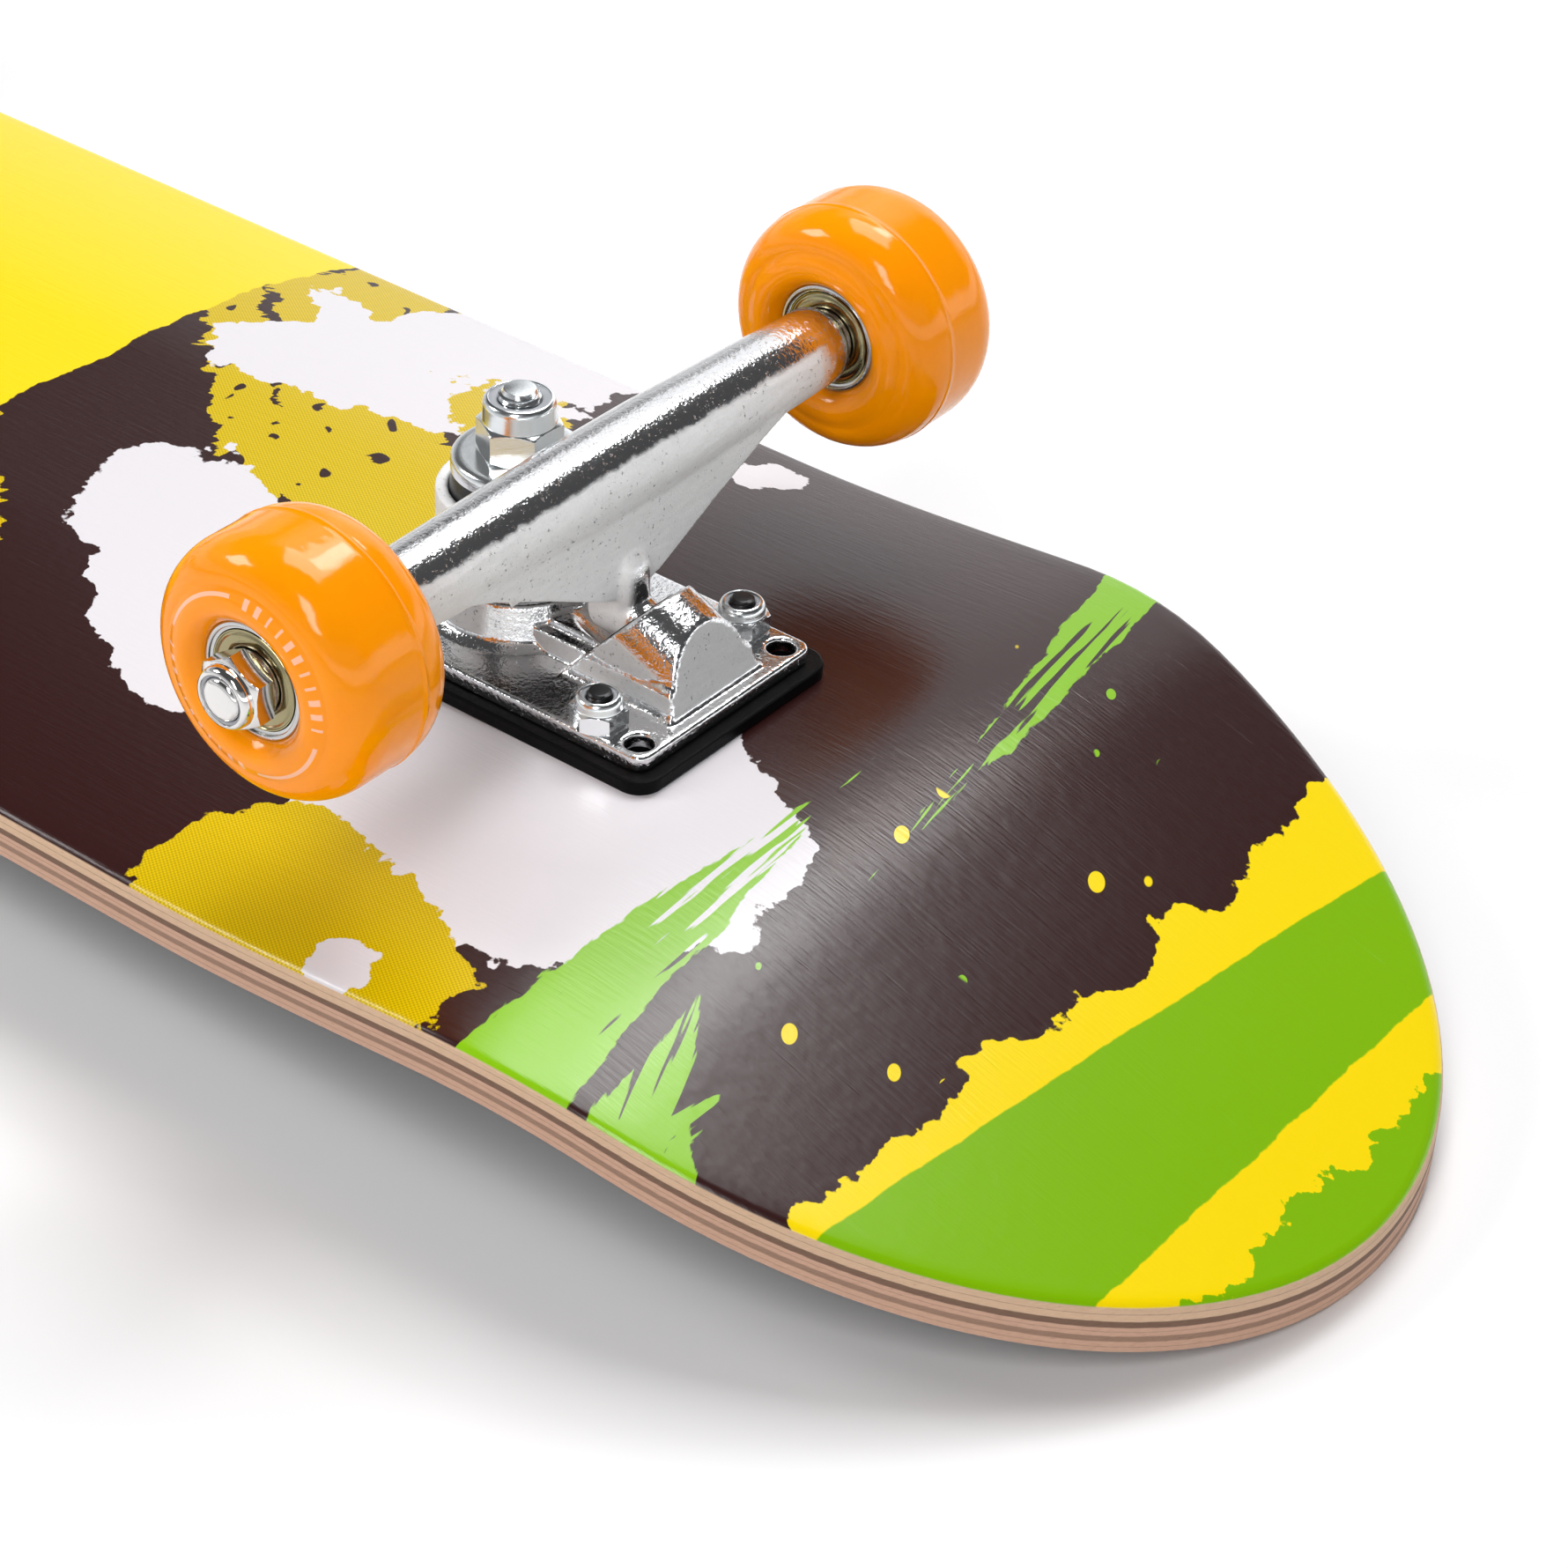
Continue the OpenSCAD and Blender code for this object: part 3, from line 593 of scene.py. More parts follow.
def deck_material():
    g = skin("lacquered_maple")
    x, y, z = g.position()
    nz = g.normal()[2]
    art = printed_side(g, x, y)
    depth = g.attribute("depth")
    printed = (depth.below(0.06, 0.02)).low(nz.above(0.55, 0.1))
    colour = g.mix(printed, plies(g, depth, x, y, z), art)
    # The grain of the veneer stands through the lacquer as a fine emboss.
    emboss = g.noise(x * 0.10, y * 1.15, 0.0, detail=5.0, rough=0.62)
    cracks = g.noise(x * 0.05, y * 0.8, 7.0, detail=2.0).above(0.70, 0.06)
    peel = g.noise(x * 0.30, y * 0.30, 5.0, detail=1.0)
    saw = g.noise(x * 0.9, y * 0.9, z * 7.0, detail=3.0, rough=0.7)
    height = printed * (emboss * 0.62 + peel * 0.30 - cracks * 0.14) + (1 - printed) * saw * 1.4
    normal = g.bump(height, 0.00011, 0.9)
    rough = printed * 0.21 + (1 - printed) * 0.62 + (emboss - 0.5) * 0.05
    return g.finish(Base_Color=colour, Roughness=rough, Normal=normal,
                    Specular_IOR_Level=0.36)


def grip_material():
    g = skin("grip_tape")
    x, y, z = g.position()
    grit = g.cells(x * 2.3, y * 2.3, z * 2.3)
    fine = g.noise(x * 3.0, y * 3.0, z, detail=3.0, rough=0.7)
    dust = g.noise(x * 0.02, y * 0.03, 2.0, detail=4.0)
    glint = g.noise(x * 4.1, y * 4.1, 9.0, detail=0.0).above(0.74, 0.02)
    colour = g.mix(fine * 0.6 + dust * 0.3, (0.010, 0.010, 0.011), (0.045, 0.045, 0.047))
    colour = g.mix(glint * 0.5, colour, (0.20, 0.20, 0.21))
    height = (1 - grit) * 0.8 + fine * 0.5
    return g.finish(Base_Color=colour, Roughness=0.78 - glint * 0.4,
                    Normal=g.bump(height, 0.00022, 0.9))


def metal(name, base, rough, grain, dents, scratches, tint=None):
    """Polished or plated metal with fine grain, soft dents and scratches."""
    g = skin(name)
    x, y, z = g.position()
    cloud = g.noise(x * 0.12, y * 0.12, z * 0.12, detail=3.0)
    speck = g.noise(x * 3, y * 3, z * 3, detail=2.0, rough=0.7)
    lines = g.noise(x * 0.5 + z * 0.2, y * 0.7, z * 6, detail=2.0)
    colour = g.mix(cloud, base, tint or tuple(c * 0.86 for c in base))
    colour = g.mix(speck.above(0.66, 0.05) * 0.3, colour, tuple(c * 0.40 for c in base))
    roughness = rough + (cloud - 0.5) * 0.12 + (speck - 0.5) * grain * 2
    height = cloud * dents + speck * grain + lines * scratches
    return g.finish(Base_Color=colour, Metallic=1.0, Roughness=roughness,
                    Normal=g.bump(height, 0.0002, 0.8))


def cast_material(name, polish, pale):
    """Cast aluminium. polish(g, x, y, z, normal) gives 1 on polished skin, 0 on raw casting, and
    pale is the brightness of the raw casting. This brightness holds painted light: the same raw
    aluminium is made lighter where it stands for a lit face, and darker as painted shade."""
    g = skin(name)
    x, y, z = g.position()
    shine = polish(g, x, y, z, g.normal())
    cloud = g.noise(x * 0.09, y * 0.09, z * 0.09, detail=3.0)
    pits = g.noise(x * 0.9, y * 0.9, z * 0.9, detail=4.0, rough=0.8)
    where = g.noise(x * 0.11, y * 0.11, z * 0.11, 2.0)
    pit_dent_and_painted_shade = pits.above(0.635, 0.03) * where.above(0.42, 0.12)
    grit = g.noise(x * 2.2, y * 2.2, z * 2.2, detail=3.0, rough=0.7)
    flow = g.noise(x * 0.5, y * 0.20, z * 0.7, detail=4.0, rough=0.6)
    tumble = g.noise(x * 1.1, y * 1.1, z * 1.1, detail=2.0, rough=0.6)
    # The raw colour scales with pale: painted light where pale is high, painted shade where it is
    # low.
    raw = g.mix(grit * 0.5 + flow * 0.5, (0.66 * pale,) * 3, (pale,) * 3)
    bright = g.mix(cloud, (0.80, 0.80, 0.805), (0.66, 0.66, 0.67))
    colour = g.mix(shine, raw, bright)
    # Pits are dents in the bump; their near-black colour is painted shade inside them.
    colour = g.mix(pit_dent_and_painted_shade * (1 - shine * 0.6) * 0.85, colour, (0.07, 0.07, 0.07))
    rough = shine * 0.13 + (1 - shine) * 0.56 + (cloud - 0.5) * 0.08 + (grit - 0.5) * 0.12
    height = tumble * 0.42 * shine + (grit * 0.35 + flow * 0.5) * (1 - shine) - pit_dent_and_painted_shade * 0.5
    return g.finish(Base_Color=colour, Metallic=0.3 + shine * 0.7, Roughness=rough,
                    Normal=g.bump(height, 0.00030, 0.85))


def rubber(name, base, rough, gloss):
    g = skin(name)
    x, y, z = g.position()
    cloud = g.noise(x * 0.15, y * 0.15, z * 0.15, detail=3.0)
    speck = g.noise(x * 2.0, y * 2.0, z * 2.0, detail=3.0, rough=0.7)
    colour = g.mix(cloud * 0.6 + speck * 0.3, base, tuple(c * 1.6 + 0.004 for c in base))
    return g.finish(Base_Color=colour, Roughness=rough + (speck - 0.5) * 0.15,
                    Specular_IOR_Level=gloss, Normal=g.bump(speck + cloud, 0.00012, 0.7))


# The print on a wheel: radii of its arcs and ticks, the angle of the arcs' middle, and the angle
# from one tick to the next.
ARC_R = 16.8
TICK_R = 16.6
ARC_ANGLE = math.radians(50)
TICK_PITCH = math.radians(9)


def wheel_material():
    """Glossy cast urethane, with a pale ring of arcs and ticks printed on the outer face."""
    g = skin("orange_urethane")
    x, y, z = g.position()
    cloud = g.noise(x * 0.05, y * 0.05, z * 0.05, detail=3.0)
    fine = g.noise(x * 0.4, y * 0.4, z * 0.4, detail=2.0)
    colour = g.mix(cloud, (1.0, 0.320, 0.0), (1.0, 0.280, 0.0))
    radius = (x * x + z * z).sqrt()
    angle = g.math("ARCTAN2", z, x)
    side = (angle - ARC_ANGLE).cos().abs()
    arcs = (radius - ARC_R).abs().below(0.34, 0.06) * side.above(0.85, 0.002)
    turn = angle * (1 / TICK_PITCH)
    width = (turn * 0.5).floor()
    tick = (turn.fract() - 0.5).abs().below(0.10 + (width * 0.5).fract() * 0.22, 0.02)
    ticks = tick * (radius - TICK_R).abs().below(0.9, 0.06) * side.below(0.77, 0.002)
    printed = (arcs + ticks).low(1) * y.above(9.0)
    colour = g.mix(printed * 0.75, colour, (1.0, 0.58, 0.44))
    return g.finish(Base_Color=colour, Roughness=0.11 + (fine - 0.5) * 0.05 + printed * 0.1,
                    Subsurface_Weight=0.15, Subsurface_Radius=(1.0, 0.35, 0.05),
                    Subsurface_Scale=0.003, Specular_IOR_Level=0.28,
                    Normal=g.bump(fine + cloud * 2, 0.0001, 0.5))


deck_skin = deck_material()
grip_skin = grip_material()
zinc = metal("bright_zinc", (0.74, 0.79, 0.83), rough=0.20, tint=(0.84, 0.84, 0.82),
             grain=0.05, dents=0.25, scratches=0.10)
chrome = metal("chrome_plate", (0.82, 0.81, 0.80), rough=0.10, tint=(0.74, 0.72, 0.70),
               grain=0.02, dents=0.35, scratches=0.03)
steel = metal("bearing_steel", (0.60, 0.60, 0.60), rough=0.18,
              grain=0.04, dents=0.1, scratches=0.12)
shield = metal("bronze_shield", (0.40, 0.35, 0.20), rough=0.16, tint=(0.28, 0.25, 0.14),
               grain=0.03, dents=0.15, scratches=0.06)
brass = metal("cage_brass", (0.62, 0.45, 0.18), rough=0.30,
              grain=0.06, dents=0.1, scratches=0.1)
black_oxide = metal("black_oxide", (0.030, 0.030, 0.033), rough=0.36, tint=(0.05, 0.05, 0.05),
                    grain=0.08, dents=0.2, scratches=0.2)
riser_skin = rubber("riser_plastic", (0.0012, 0.0012, 0.0015), rough=0.34, gloss=0.05)
bushing_skin = rubber("bushing_rubber", (0.004, 0.004, 0.005), rough=0.22, gloss=0.50)
cup_skin = rubber("pivot_nylon", (0.012, 0.012, 0.013), rough=0.50, gloss=0.25)
nylon = rubber("nut_nylon", (0.30, 0.31, 0.33), rough=0.45, gloss=0.25)
orange = wheel_material()


# Where the polish of a hanger begins, in millimetres: above the axle, out from the middle of the
# truck, and beyond the axle towards the tip of the board. PLATE_FACE is the height above the riser
# pad from which a baseplate has raw faces.
POLISH_UP = 5.6
POLISH_OUT = 57
POLISH_BEYOND = 9.6
PLATE_FACE = 3.6


def tube_polish(g, x, y, z, normal):
    """Polished on the upper side and the ends of the tube and on the pivot arm, raw elsewhere."""
    axle_mid = centre("axle_front") / MM
    ragged = (g.noise(x * 0.4, y * 0.4, z * 0.4, detail=3.0) - 0.5) * 1.6
    upper = (z + ragged + y.abs() * 0.018).above(axle_mid.z + POLISH_UP, 0.9)
    tips = (y.abs() + ragged * 4).above(POLISH_OUT, 5)
    arm = x.abs().above(axle_mid.x + POLISH_BEYOND, 0.8)
    return upper.high(tips).high(arm)


def plate_polish(g, x, y, z, normal):
    """Polished all over, except the upright faces that a belt has not reached."""
    nx, ny, nz = normal
    upright = nz.abs().below(0.35, 0.1)
    flat = (nx.abs().high(ny.abs())).above(0.93, 0.04)
    high = z.above(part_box("riser_pad_front")[1][2] / MM + PLATE_FACE, 0.4)
    return 1 - upright * flat * high


# Hanger: its raw pale of 0.96 is painted light, a brighter copy of the baseplate's raw aluminium.
hanger_skin_painted_light = cast_material("hanger_casting", tube_polish, 0.96)
# Baseplate: its raw pale of 0.62 is painted shade, a darker copy of the hanger's raw aluminium.
plate_skin_painted_shade = cast_material("baseplate_casting_painted_shade", plate_polish, 0.62)


# ------------------------------------------------------------------ deck and grip tape

EDGE = [
    (1.9 * MM, 0.0), (1.2 * MM, 0.10 * MM), (0.6 * MM, 0.38 * MM), (0.15 * MM, 0.9 * MM),
    (0.0, 1.7 * MM), (0.0, 3.5 * MM), (0.0, DECK_T / 2), (0.0, DECK_T - 3.5 * MM),
    (0.0, DECK_T - 1.7 * MM), (0.15 * MM, DECK_T - 0.9 * MM), (0.6 * MM, DECK_T - 0.38 * MM),
    (1.2 * MM, DECK_T - 0.10 * MM), (1.9 * MM, DECK_T),
]
deck = board("deck_board", EDGE, 56, deck_skin)
BOLT_HEAD_R = 5 * MM
HOLE_R = 2.65 * MM
SINK_DEPTH = 2.7 * MM
SINK_R = (5.3 * MM, 2.6 * MM)  # of the countersink, at the surface and at its bottom
BEYOND = 20 * MM  # how far a cutter runs past the board on either side
HAIR = 0.01 * MM
GRIP_Z = DECK_TOP - DECK_T
bolts = []
for end in ENDS:
    low, high = (Vector(c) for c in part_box(f"deck_bolts_{end}"))
    for bx in (low.x + BOLT_HEAD_R, high.x - BOLT_HEAD_R):
        for by in (low.y + BOLT_HEAD_R, high.y - BOLT_HEAD_R):
            bolts.append((bx, by))
deck = drilled(deck, [(bx, by, GRIP_Z - BEYOND, DECK_TOP + BEYOND, HOLE_R, HOLE_R)
                      for bx, by in bolts])
deck = drilled(deck, [(bx, by, GRIP_Z - HAIR, GRIP_Z + SINK_DEPTH, *SINK_R) for bx, by in bolts])
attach(deck, "board")
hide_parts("deck")

TAPE = [
    (TAPE_MARGIN, DECK_T + 0.02 * MM), (TAPE_MARGIN, DECK_T + 0.4 * MM),
    (TAPE_MARGIN + 0.15 * MM, DECK_T + TAPE_T - 0.08 * MM),
    (TAPE_MARGIN + 0.5 * MM, DECK_T + TAPE_T),
]
tape = board("grip_sheet", TAPE, 24, grip_skin)
TAPE_HOLE_R = 5.4 * MM
tape = drilled(tape, [(bx, by, GRIP_Z - BEYOND, GRIP_Z + BEYOND, TAPE_HOLE_R, TAPE_HOLE_R)
                      for bx, by in bolts])
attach(tape, "board")
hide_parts("griptape")


# ------------------------------------------------------------------ CAD pieces that stay


WELD_GAP = 0.002 * MM
BEVEL_ANGLE = 32


def dress(node, material, bevel=0.0):
    """Gives a CAD node its material, and rounds its edges."""
    obj = frame["nodes"][node]
    obj.data.materials.clear()
    obj.data.materials.append(material)
    weld = obj.modifiers.new("weld", "WELD")
    weld.merge_threshold = WELD_GAP
    if bevel:
        edge = obj.modifiers.new("bevel", "BEVEL")
        edge.width = bevel
        edge.segments = 2
        edge.limit_method = "ANGLE"
        edge.angle_limit = math.radians(BEVEL_ANGLE)
    return obj


def cast(node, material, voxel, rounds):
    """Gives a CAD node the soft edges and fillets of a casting.

    voxel is the size of the new mesh's cells, and rounds how often it is smoothed.
    """
    obj = dress(node, material)
    shell = obj.modifiers.new("shell", "REMESH")
    shell.mode = "VOXEL"
    shell.voxel_size = voxel
    shell.use_smooth_shade = True
    soften = obj.modifiers.new("soften", "SMOOTH")
    soften.factor = 0.5
    soften.iterations = rounds


for end in ENDS:
    cast(f"hanger_{end}", hanger_skin_painted_light, 0.48 * MM, 5)
    cast(f"baseplate_{end}", plate_skin_painted_shade, 0.45 * MM, 3)
    dress(f"riser_pad_{end}", riser_skin, 0.5 * MM)
    dress(f"pivot_cup_{end}", cup_skin, 0.2 * MM)
    dress(f"deck_bolts_{end}", black_oxide, 0.1 * MM)
    dress(f"speed_washers_{end}", zinc, 0.1 * MM)
    dress(f"bearing_inner_races_{end}", steel, 0.15 * MM)
    for side in SIDES:
        at = f"{end}_{side}"
        dress(f"bearing_balls_{at}", chrome)
        dress(f"bearing_cages_{at}", brass, 0.1 * MM)


# ------------------------------------------------------------------ turned pieces


UP = Vector((0, 0, 1))


def in_place(verts, origin, direction):
    """Moves a shape drawn in millimetres along z to origin, with its axis along direction."""
    turn = UP.rotation_difference(Vector(direction)).to_matrix()
    return [tuple(turn @ (Vector(v) * MM) + Vector(origin)) for v in verts]


def stand(name, verts, faces, origin, direction, material, body, slot, node, sharp=32):
    """A piece that stands for a CAD node; its shape is drawn as in_place() takes it."""
    obj = piece(name, in_place(verts, origin, direction), faces, material, body, sharp=sharp)
    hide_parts(node)
    return obj


def rings(shapes, steps=96, close=False):
    """Joins rings (radius or radius by angle, height) into a skin. Without close, both ends are
    filled."""
    verts, faces = [], []
    for radius, z in shapes:
        for i in range(steps):
            a = 2 * math.pi * i / steps
            r = radius(a) if callable(radius) else radius
            verts.append((r * math.cos(a), r * math.sin(a), z))
    n = len(shapes)
    for k in range(n if close else n - 1):
        for i in range(steps):
            j = (i + 1) % steps
            a, b = k * steps, (k + 1) % n * steps
            faces.append((a + i, a + j, b + j, b + i))
    if not close:
        faces.append(tuple(range(steps))[::-1])
        faces.append(tuple(range((n - 1) * steps, n * steps)))
    return verts, faces


def hexagon(af, limit):
    """Radius by angle of a hexagon, cut off at the radius limit."""
    sixth = math.pi / 3
    return lambda a: min(limit, af / 2 / math.cos((a + sixth / 2) % sixth - sixth / 2))


CHAMFER = 0.55


def hex_rings(af, lip, z0, z1, upper=True):
    """Rings of a hexagon from z0 to z1 whose corners are chamfered to the radius lip."""
    reach = (af * 0.578 - lip) * CHAMFER
    levels = [reach * i / 6 for i in range(7)]
    low = [(hexagon(af, lip + z / CHAMFER), z0 + z) for z in levels]
    if not upper:
        return low + [(hexagon(af, af), z1)]
    return low + [(hexagon(af, lip + z / CHAMFER), z1 - z) for z in reversed(levels)]


def nut_rings(af, hex_h, collar_d, h, bore_d):
    """Rings of a self-locking nut on z = 0, and the number of the first one of its nylon."""
    c, b = collar_d / 2, bore_d / 2
    lip = max(af / 2 * 0.955, c + 0.15)
    outside = hex_rings(af, lip, 0, hex_h) + [
        (c + 0.10, hex_h + 0.04), (c, hex_h + 0.3), (c, h - 1.3), (c - 0.08, h - 0.9),
        (c - 0.27, h - 0.5), (c - 0.52, h - 0.2), (c - 0.82, h - 0.04), (c - 1.0, h),
        (c - 1.15, h - 0.08), (c - 1.22, h - 0.3), (c - 1.24, h - 0.42)]
    inside = [(b + 0.35, h - 0.42), (b + 0.1, h - 0.6), (b, h - 1.1), (b, h - 2.0), (b, 0.6),
              (b + 0.5, 0)]
    return outside + inside, len(outside) - 1


NYLON_RINGS = 4


def nuts(name, size, bore, places, material, body, node):
    """One piece of one or more nuts. A place is the middle of a seat, and a direction."""
    shapes, first = nut_rings(*size, bore)
    verts, faces = rings(shapes, close=True)
    steps = len(verts) // len(shapes)
    is_nylon = [first <= k // steps < first + NYLON_RINGS for k in range(len(faces))]
    verts, faces = joined((in_place(verts, *place), faces) for place in places)
    obj = piece(name, verts, faces, material, body, sharp=26)
    obj.data.materials.append(nylon)
    for polygon, inset in zip(obj.data.polygons, is_nylon * len(places)):
        polygon.material_index = int(inset)
    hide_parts(node)


def thread(radius, z0, z1, pitch, depth):
    """Rings of a screw thread: a ridge that climbs one pitch each turn."""
    count = round((z1 - z0) / pitch * 8)
    shapes = []
    for k in range(count + 1):
        z = z0 + (z1 - z0) * k / count

        def ridge(a, z=z):
            phase = (z / pitch - a / (2 * math.pi)) % 1
            return radius - depth * min(1.0, abs(phase - 0.5) * 2.6)

        shapes.append((ridge, z))
    return shapes


# Sizes in millimetres, and heights above the deck. A nut is its width across flats, the height of
# its hexagon, the diameter of its collar and its full height. The head of the kingpin is its width
# across flats, the radius of its chamfer, and its lowest and highest point. A washer is the outer
# part of its section, as (radius, height). A bushing is the heights of both its ends, and its
# radii there.
PLATE_TOP = 6.2
PIN_NUT = (14.3, 6.8, 13.8, 11.4)
DECK_NUT = (9.5, 3.9, 8.9, 6.2)
AXLE_NUT = (12.7, 4.8, 11.6, 6.9)
PIN_R = 4.0
PIN_HEAD = (14.2, 6.8, 3.2, 9.5)
PIN_TOP = 52.4
PIN_BORE = PIN_R + 0.15
FLAT_WASHER = [(12.5, 14.5), (12.8, 14.75), (12.8, 15.8), (12.5, 16.1)]
CUP_WASHER = [(11.4, 37.6), (11.4, 35.85), (11.6, 35.8), (12.6, 35.8), (12.8, 35.95),
              (12.8, 37.7), (12.72, 38.25), (12.45, 38.7), (12.0, 39.02), (11.4, 39.17),
              (10.6, 39.2)]
NUT_SEAT = CUP_WASHER[-1][1]
BUSHINGS = {"board": (16.1, 25.25, 13.0, 12.4), "road": (28.75, 37.6, 12.9, 11.3)}
# The end of the axle, as (radius, distance from its end), and the seat of its nut from there.
AXLE_NOSE = [(4.0, 2.3), (3.4, 2.0), (3.45, 1.7), (3.99, 1.3), (3.9, 0.8), (3.65, 0.4),
             (3.2, 0.12), (2.6, 0.0)]
AXLE_SEAT = 7.3
# The threaded end of a deck bolt: its radius, and its lowest and highest thread above the seat.
BOLT_R = 2.38
BOLT_END = (3.2, 6.8)


def kingpin(end, pin):
    """Hexagon head in the baseplate, plain shank, and a thread through the nut."""
    head_top = PIN_HEAD[-1]
    shapes = hex_rings(*PIN_HEAD, upper=False)
    shapes += [(PIN_R + 0.4, head_top), (PIN_R, head_top + 0.4), (PIN_R, NUT_SEAT - 0.6)]
    shapes += thread(PIN_R, NUT_SEAT - 0.2, PIN_TOP - 1.0, 1.25, 0.55)
    shapes += [(PIN_R - 0.62, PIN_TOP - 0.8), (PIN_R - 1.0, PIN_TOP - 0.05),
               (PIN_R - 1.2, PIN_TOP)]
    stand(f"pin_{end}", *rings(shapes), pin, UP, zinc, "board", "zinc_steel", f"kingpin_{end}")
    nuts(f"pin_nut_{end}", PIN_NUT, 2 * PIN_R + 0.1, [(pin + UP * NUT_SEAT * MM, UP)], zinc,
         "board", f"kingpin_nut_{end}")


def washers(end, pin):
    """A flat washer on the baseplate, and a cupped one under the nut."""
    for kind, place, section in (("flat", "board", FLAT_WASHER), ("cup", "road", CUP_WASHER)):
        shapes = [(PIN_BORE, section[0][1])] + section + [(PIN_BORE, section[-1][1])]
        stand(f"{kind}_washer_{end}", *rings(shapes, 128, close=True), pin, UP, zinc, "board",
              "zinc_steel", f"{place}_washer_{end}")


def bushings(end, pin):
    """Rubber rings round the kingpin, a little bellied, with rounded ends."""
    for kind, (z0, z1, r0, r1) in BUSHINGS.items():
        shapes = [(PIN_BORE, z0)]
        for i in range(17):
            t = i / 16
            belly = 0.35 * math.sin(math.pi * t) - 0.9 * max(0, 1 - t * 12) ** 2
            lip = 0.9 * max(0, (t - 0.93) / 0.07) ** 2
            shapes.append((r0 + (r1 - r0) * t * t + belly - lip, z0 + (z1 - z0) * t))
        shapes.append((PIN_BORE, z1))
        obj = stand(f"{kind}_rubber_{end}", *rings(shapes, 128, close=True), pin, UP,
                    bushing_skin, None, "bushing_rubber", f"{kind}_bushing_{end}")
        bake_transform(obj)


def axle(end):
    """Steel rod with a groove and a rounded nose at each end, and its nuts."""
    hanger = f"hanger_{end}"
    middle = centre(f"axle_{end}")
    low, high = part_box(f"axle_{end}")
    half = (high[1] - low[1]) / 2 / MM
    nose = [(r, half - d) for r, d in AXLE_NOSE]
    shapes = [(r, -d) for r, d in reversed(nose)] + nose
    stand(f"axle_rod_{end}", *rings(shapes), middle, (0, 1, 0), chrome, hanger, "axle_steel",
          f"axle_{end}")
    seat = (half - AXLE_SEAT) * MM
    nuts(f"wheel_nuts_{end}", AXLE_NUT, 8.06,
         [(middle + Vector((0, s * seat, 0)), (0, s, 0)) for s in (-1, 1)], chrome, hanger,
         f"axle_nuts_{end}")


def bolt_nuts(end, seats):
    """The nuts of the deck bolts, and the threaded ends that stand a little out of them."""
    nuts(f"bolt_nuts_{end}", DECK_NUT, 4.9, [(seat, UP) for seat in seats], zinc, "board",
         f"deck_nuts_{end}")
    low, high = BOLT_END
    shapes = [(2.0, low)] + thread(BOLT_R, low, high, 0.8, 0.35)
    verts, faces = rings(shapes + [(1.9, high + 0.2), (1.6, high + 0.25)], 48)
    verts, faces = joined((in_place(verts, seat, UP), faces) for seat in seats)
    piece(f"bolt_tips_{end}", verts, faces, black_oxide, "board")


for end, nose in ENDS.items():
    pin = centre(f"kingpin_{end}")
    pin.z = DECK_TOP
    kingpin(end, pin)
    washers(end, pin)
    bushings(end, pin)
    axle(end)
    bolt_nuts(end, [Vector((x, y, DECK_TOP + PLATE_TOP * MM)) for x, y in bolts if x * nose > 0])


# ------------------------------------------------------------------ wheels

TREAD_R = 24.4
TREAD_HALF = 4.6
SHOULDER_R = 18.0
SHOULDER_D = 13.05
RIDGE_AT = -4.3


def tread(d):
    """Radius of the wheel at distance d from its middle."""
    if abs(d) <= TREAD_HALF:
        return TREAD_R
    t = (abs(d) - TREAD_HALF) / (SHOULDER_D - TREAD_HALF)
    return SHOULDER_R + (TREAD_R - SHOULDER_R) * math.sqrt(max(0.0, 1 - t * t))


def wheel_profile(ridge_at):
    """Closed section of a wheel, (radius, distance from its middle). The ridge is the parting
    line of the mould."""
    face = [
        (9.6, 4.7), (9.9, 5.0), (11.0, 5.0), (11.02, 5.2), (11.02, 11.9), (11.4, 12.5),
        (12.1, 13.35), (12.8, 13.95), (13.6, 14.3), (14.5, 14.42), (15.6, 14.3), (16.8, 13.85),
    ]
    stations = list(range(-4, 5))
    for i in range(1, 25):
        d = TREAD_HALF + (SHOULDER_D - TREAD_HALF) * math.sin(math.pi / 2 * i / 24)
        stations += [d, -d]
    stations = [d for d in stations if abs(d - ridge_at) > 0.3]
    skin_line = [(tread(d), d) for d in stations]
    skin_line += [(tread(ridge_at + o) + b, ridge_at + o)
                  for o, b in ((-0.25, 0), (-0.10, 0.16), (0.10, 0.16), (0.25, 0))]
    skin_line.sort(key=lambda point: -point[1])
    return face + skin_line + [(r, -d) for r, d in reversed(face)]


# Sections of the shields and of the outer races, as (radius, distance from the bearing's middle).
SHIELD = [(6.25, 2.70), (6.25, 2.95), (6.5, 3.12), (7.0, 3.18), (8.1, 3.18), (8.5, 3.02),
          (8.7, 2.84), (8.95, 2.82), (9.1, 3.0), (9.3, 3.0), (9.3, 2.65), (8.8, 2.62),
          (8.2, 2.95), (6.6, 2.95)]
RACE_HALF = [(11.0, 3.15), (10.88, 3.38), (10.65, 3.5), (10.2, 3.5), (10.06, 3.38), (10.0, 3.0),
             (9.75, 2.85), (9.5, 2.85), (9.38, 2.7), (9.35, 1.7), (9.5, 1.1), (9.55, 0)]
RACE = RACE_HALF + [(r, -d) for r, d in reversed(RACE_HALF[:-1])]
BEARINGS = (-8.5, 8.5)  # their places along the axle, from the wheel's middle


def tyre(at, sign):
    """The urethane wheel; its outer face, which carries the print, points away from the truck."""
    verts, faces = lathe(wheel_profile(RIDGE_AT), 128, close=True)
    obj = piece(f"tyre_{at}", [tuple(Vector(v) * MM) for v in verts], faces, orange, None,
                sharp=50)
    obj.location = centre(f"wheel_{at}")
    if sign < 0:
        obj.rotation_euler = (0, 0, math.pi)
    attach(obj, f"wheel_{at}")
    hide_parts(f"wheel_{at}")


